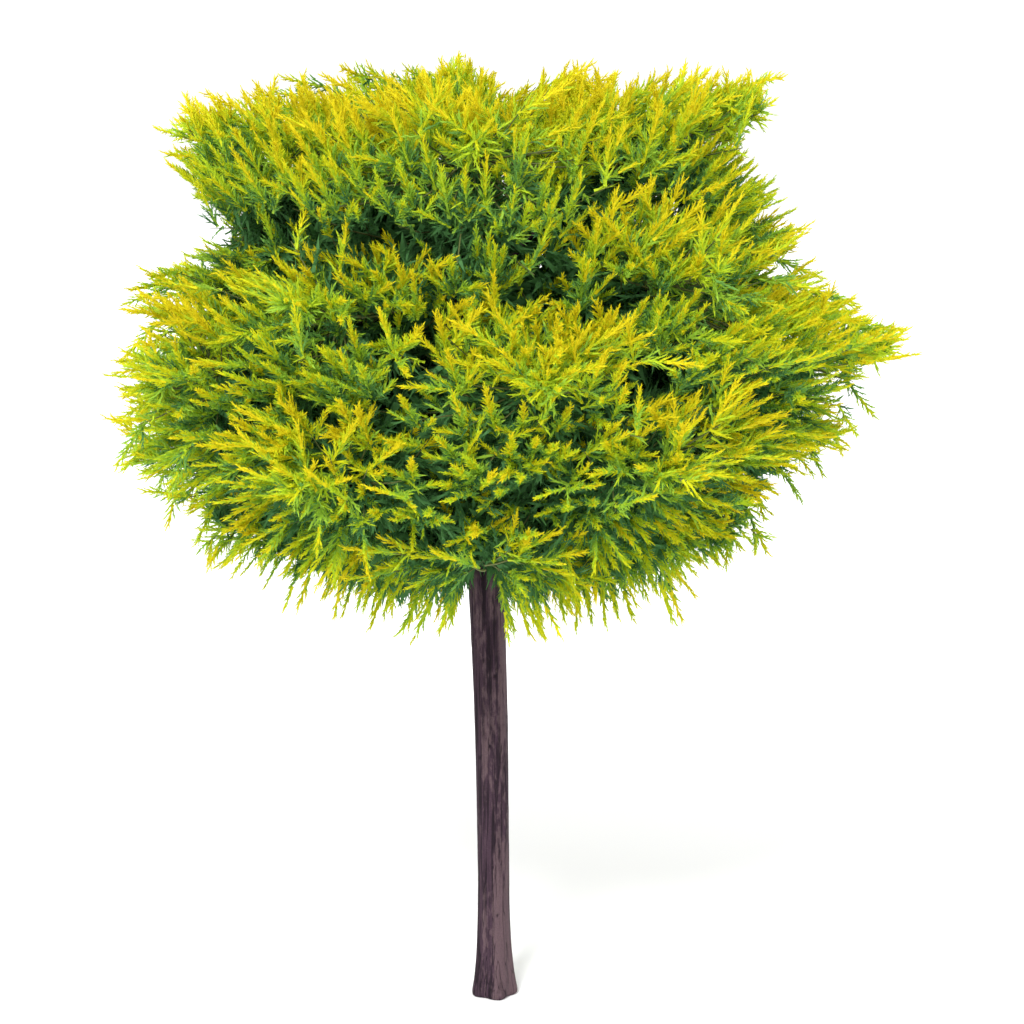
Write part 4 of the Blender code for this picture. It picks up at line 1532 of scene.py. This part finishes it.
def needles_tree():
    tree, start, given = new_tree("needles_on_points", [
        ("Geometry", "NodeSocketGeometry"), ("Shoots", "NodeSocketCollection"),
        ("Variants", "NodeSocketInt"), ("Seed", "NodeSocketInt"), ("Material", "NodeSocketMaterial")])
    vector = {"data_type": "FLOAT_VECTOR"}
    aim = start.node("GeometryNodeInputNamedAttribute", vector, {"Name": "aim"})
    side = start.node("GeometryNodeInputNamedAttribute", vector, {"Name": "side"})
    size = start.node("GeometryNodeInputNamedAttribute", vector, {"Name": "size"})
    rotation = start.node("FunctionNodeAxesToRotation", {"primary_axis": "Z", "secondary_axis": "X"},
                          {"Primary Axis": aim, "Secondary Axis": side})
    shapes = start.node("GeometryNodeCollectionInfo", None, {
        "Collection": given["Shoots"], "Separate Children": True, "Reset Children": True})
    pick = start.node("FunctionNodeRandomValue", {"data_type": "INT"},
                      {4: 0, 5: given["Variants"] - 1, 8: given["Seed"]}, 2)
    placed = start.node("GeometryNodeInstanceOnPoints", None, {
        "Points": given["Geometry"], "Instance": shapes, "Pick Instance": True, "Instance Index": pick,
        "Rotation": rotation, "Scale": size})
    end_tree(tree, placed, given["Material"])
    return tree


def cloud(name, shoots):
    """A mesh of points, one a shoot, with the direction, side and size of each."""
    mesh = bpy.data.meshes.new(name)
    mesh.from_pydata([tuple(shoot.foot) for shoot in shoots], [], [])
    lengths = [shoot.length / UNIT_LENGTH for shoot in shoots]
    girths = [max(length, length ** GIRTH_POWER) for length in lengths]
    sizes = [(girth, girth, length) for girth, length in zip(girths, lengths)]
    rows = {"aim": [shoot.aim for shoot in shoots], "side": [shoot.side for shoot in shoots], "size": sizes}
    for title, vectors in rows.items():
        attribute = mesh.attributes.new(title, "FLOAT_VECTOR", "POINT")
        attribute.data.foreach_set("vector", np.array(vectors, dtype=np.float32).ravel())
    return mesh


shoots_on_points = needles_tree()
print("the needles tree has", len(shoots_on_points.nodes), "nodes")

# %% Grow the needles
needle_triangles = 0
for tint_number, tint in enumerate(TINTS):
    material = needle_material(f"needles_{tint.name}", tint.colour)
    a_piece = PIECE_TRIANGLES // (SHOOT_KINDS[tint.kind].needles + CORE_SIDES)
    for number, first in enumerate(range(0, len(dealt[tint.name]), a_piece), 1):
        rows = dealt[tint.name][first:first + a_piece]
        piece = run_tree(f"needles_{tint.name}_{number}", cloud("cloud", rows), shoots_on_points, {
            "Shoots": kinds[tint.kind], "Variants": VARIANTS, "Seed": tint_number, "Material": material})
        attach(piece, "root")
        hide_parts(*sorted({f"foliage_{row.plume.mass.name}" for row in rows}))
        needle_triangles += len(piece.data.polygons)
        print(piece.name, len(piece.data.polygons), "triangles")
print("needles in all:", needle_triangles, "triangles")

# %% [markdown]
# ## Twigs as thin tubes
#
# A twig is a line with a thickness at each point, and Geometry Nodes sweep a small ring along it. Young bark
# is still olive green, so what shows of it between the shoots melts into them.

# %% Sweep the twigs
TWIG_SIDES = 4
TWIG_RADII = (0.0022, 0.0007)
TWIG_POINTS = 4
TWIG_SAG = 0.05
YOUNG_BARK = (0.105, 0.125, 0.030)
YOUNG_BARK_ROUGHNESS = 0.8


def twig_tree():
    tree, start, given = new_tree("tubes_on_lines", [
        ("Geometry", "NodeSocketGeometry"), ("Sides", "NodeSocketInt"), ("Material", "NodeSocketMaterial")])
    lines = start.node("GeometryNodeMeshToCurve", None, {"Mesh": given["Geometry"]})
    thick = start.node("GeometryNodeInputNamedAttribute", {"data_type": "FLOAT"}, {"Name": "thick"})
    ring = start.node("GeometryNodeCurvePrimitiveCircle", None, {"Resolution": given["Sides"], "Radius": 1.0})
    values = {"Curve": lines, "Profile Curve": ring, "Scale": thick, "Fill Caps": True}
    tubes = start.node("GeometryNodeCurveToMesh", None, values)
    end_tree(tree, tubes, given["Material"])
    return tree


def lines_mesh(rows):
    """A mesh of lines, each from a start to an end with a little sag, and the thickness at each point."""
    points, edges, thick = [], [], []
    for start, end in rows:
        first = len(points)
        for k in range(TWIG_POINTS):
            share = k / (TWIG_POINTS - 1)
            drop = UP * TWIG_SAG * 4 * share * (1 - share) * (end - start).length
            points.append(tuple(start.lerp(end, share) - drop))
            thick.append(blend(TWIG_RADII, share))
        edges += [(k, k + 1) for k in range(first, len(points) - 1)]
    mesh = bpy.data.meshes.new("lines")
    mesh.from_pydata(points, edges, [])
    attribute = mesh.attributes.new("thick", "FLOAT", "POINT")
    attribute.data.foreach_set("value", np.array(thick, dtype=np.float32))
    return mesh


young_bark = plain_material("young_bark", YOUNG_BARK, YOUNG_BARK_ROUGHNESS)
twigs = run_tree("twigs", lines_mesh(twig_lines), twig_tree(), {"Sides": TWIG_SIDES, "Material": young_bark})
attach(twigs, "root")
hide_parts(*[f"foliage_{mass.name}" for mass in masses])
print("twigs:", len(twigs.data.polygons), "faces")

# %% [markdown]
# ## Clear away the helpers
#
# The prototypes have served, so they go.

# %% Finish
for collection in kinds.values():
    for shoot in list(collection.objects):
        bpy.data.objects.remove(shoot)
    bpy.data.collections.remove(collection)
bpy.data.materials.remove(spare)
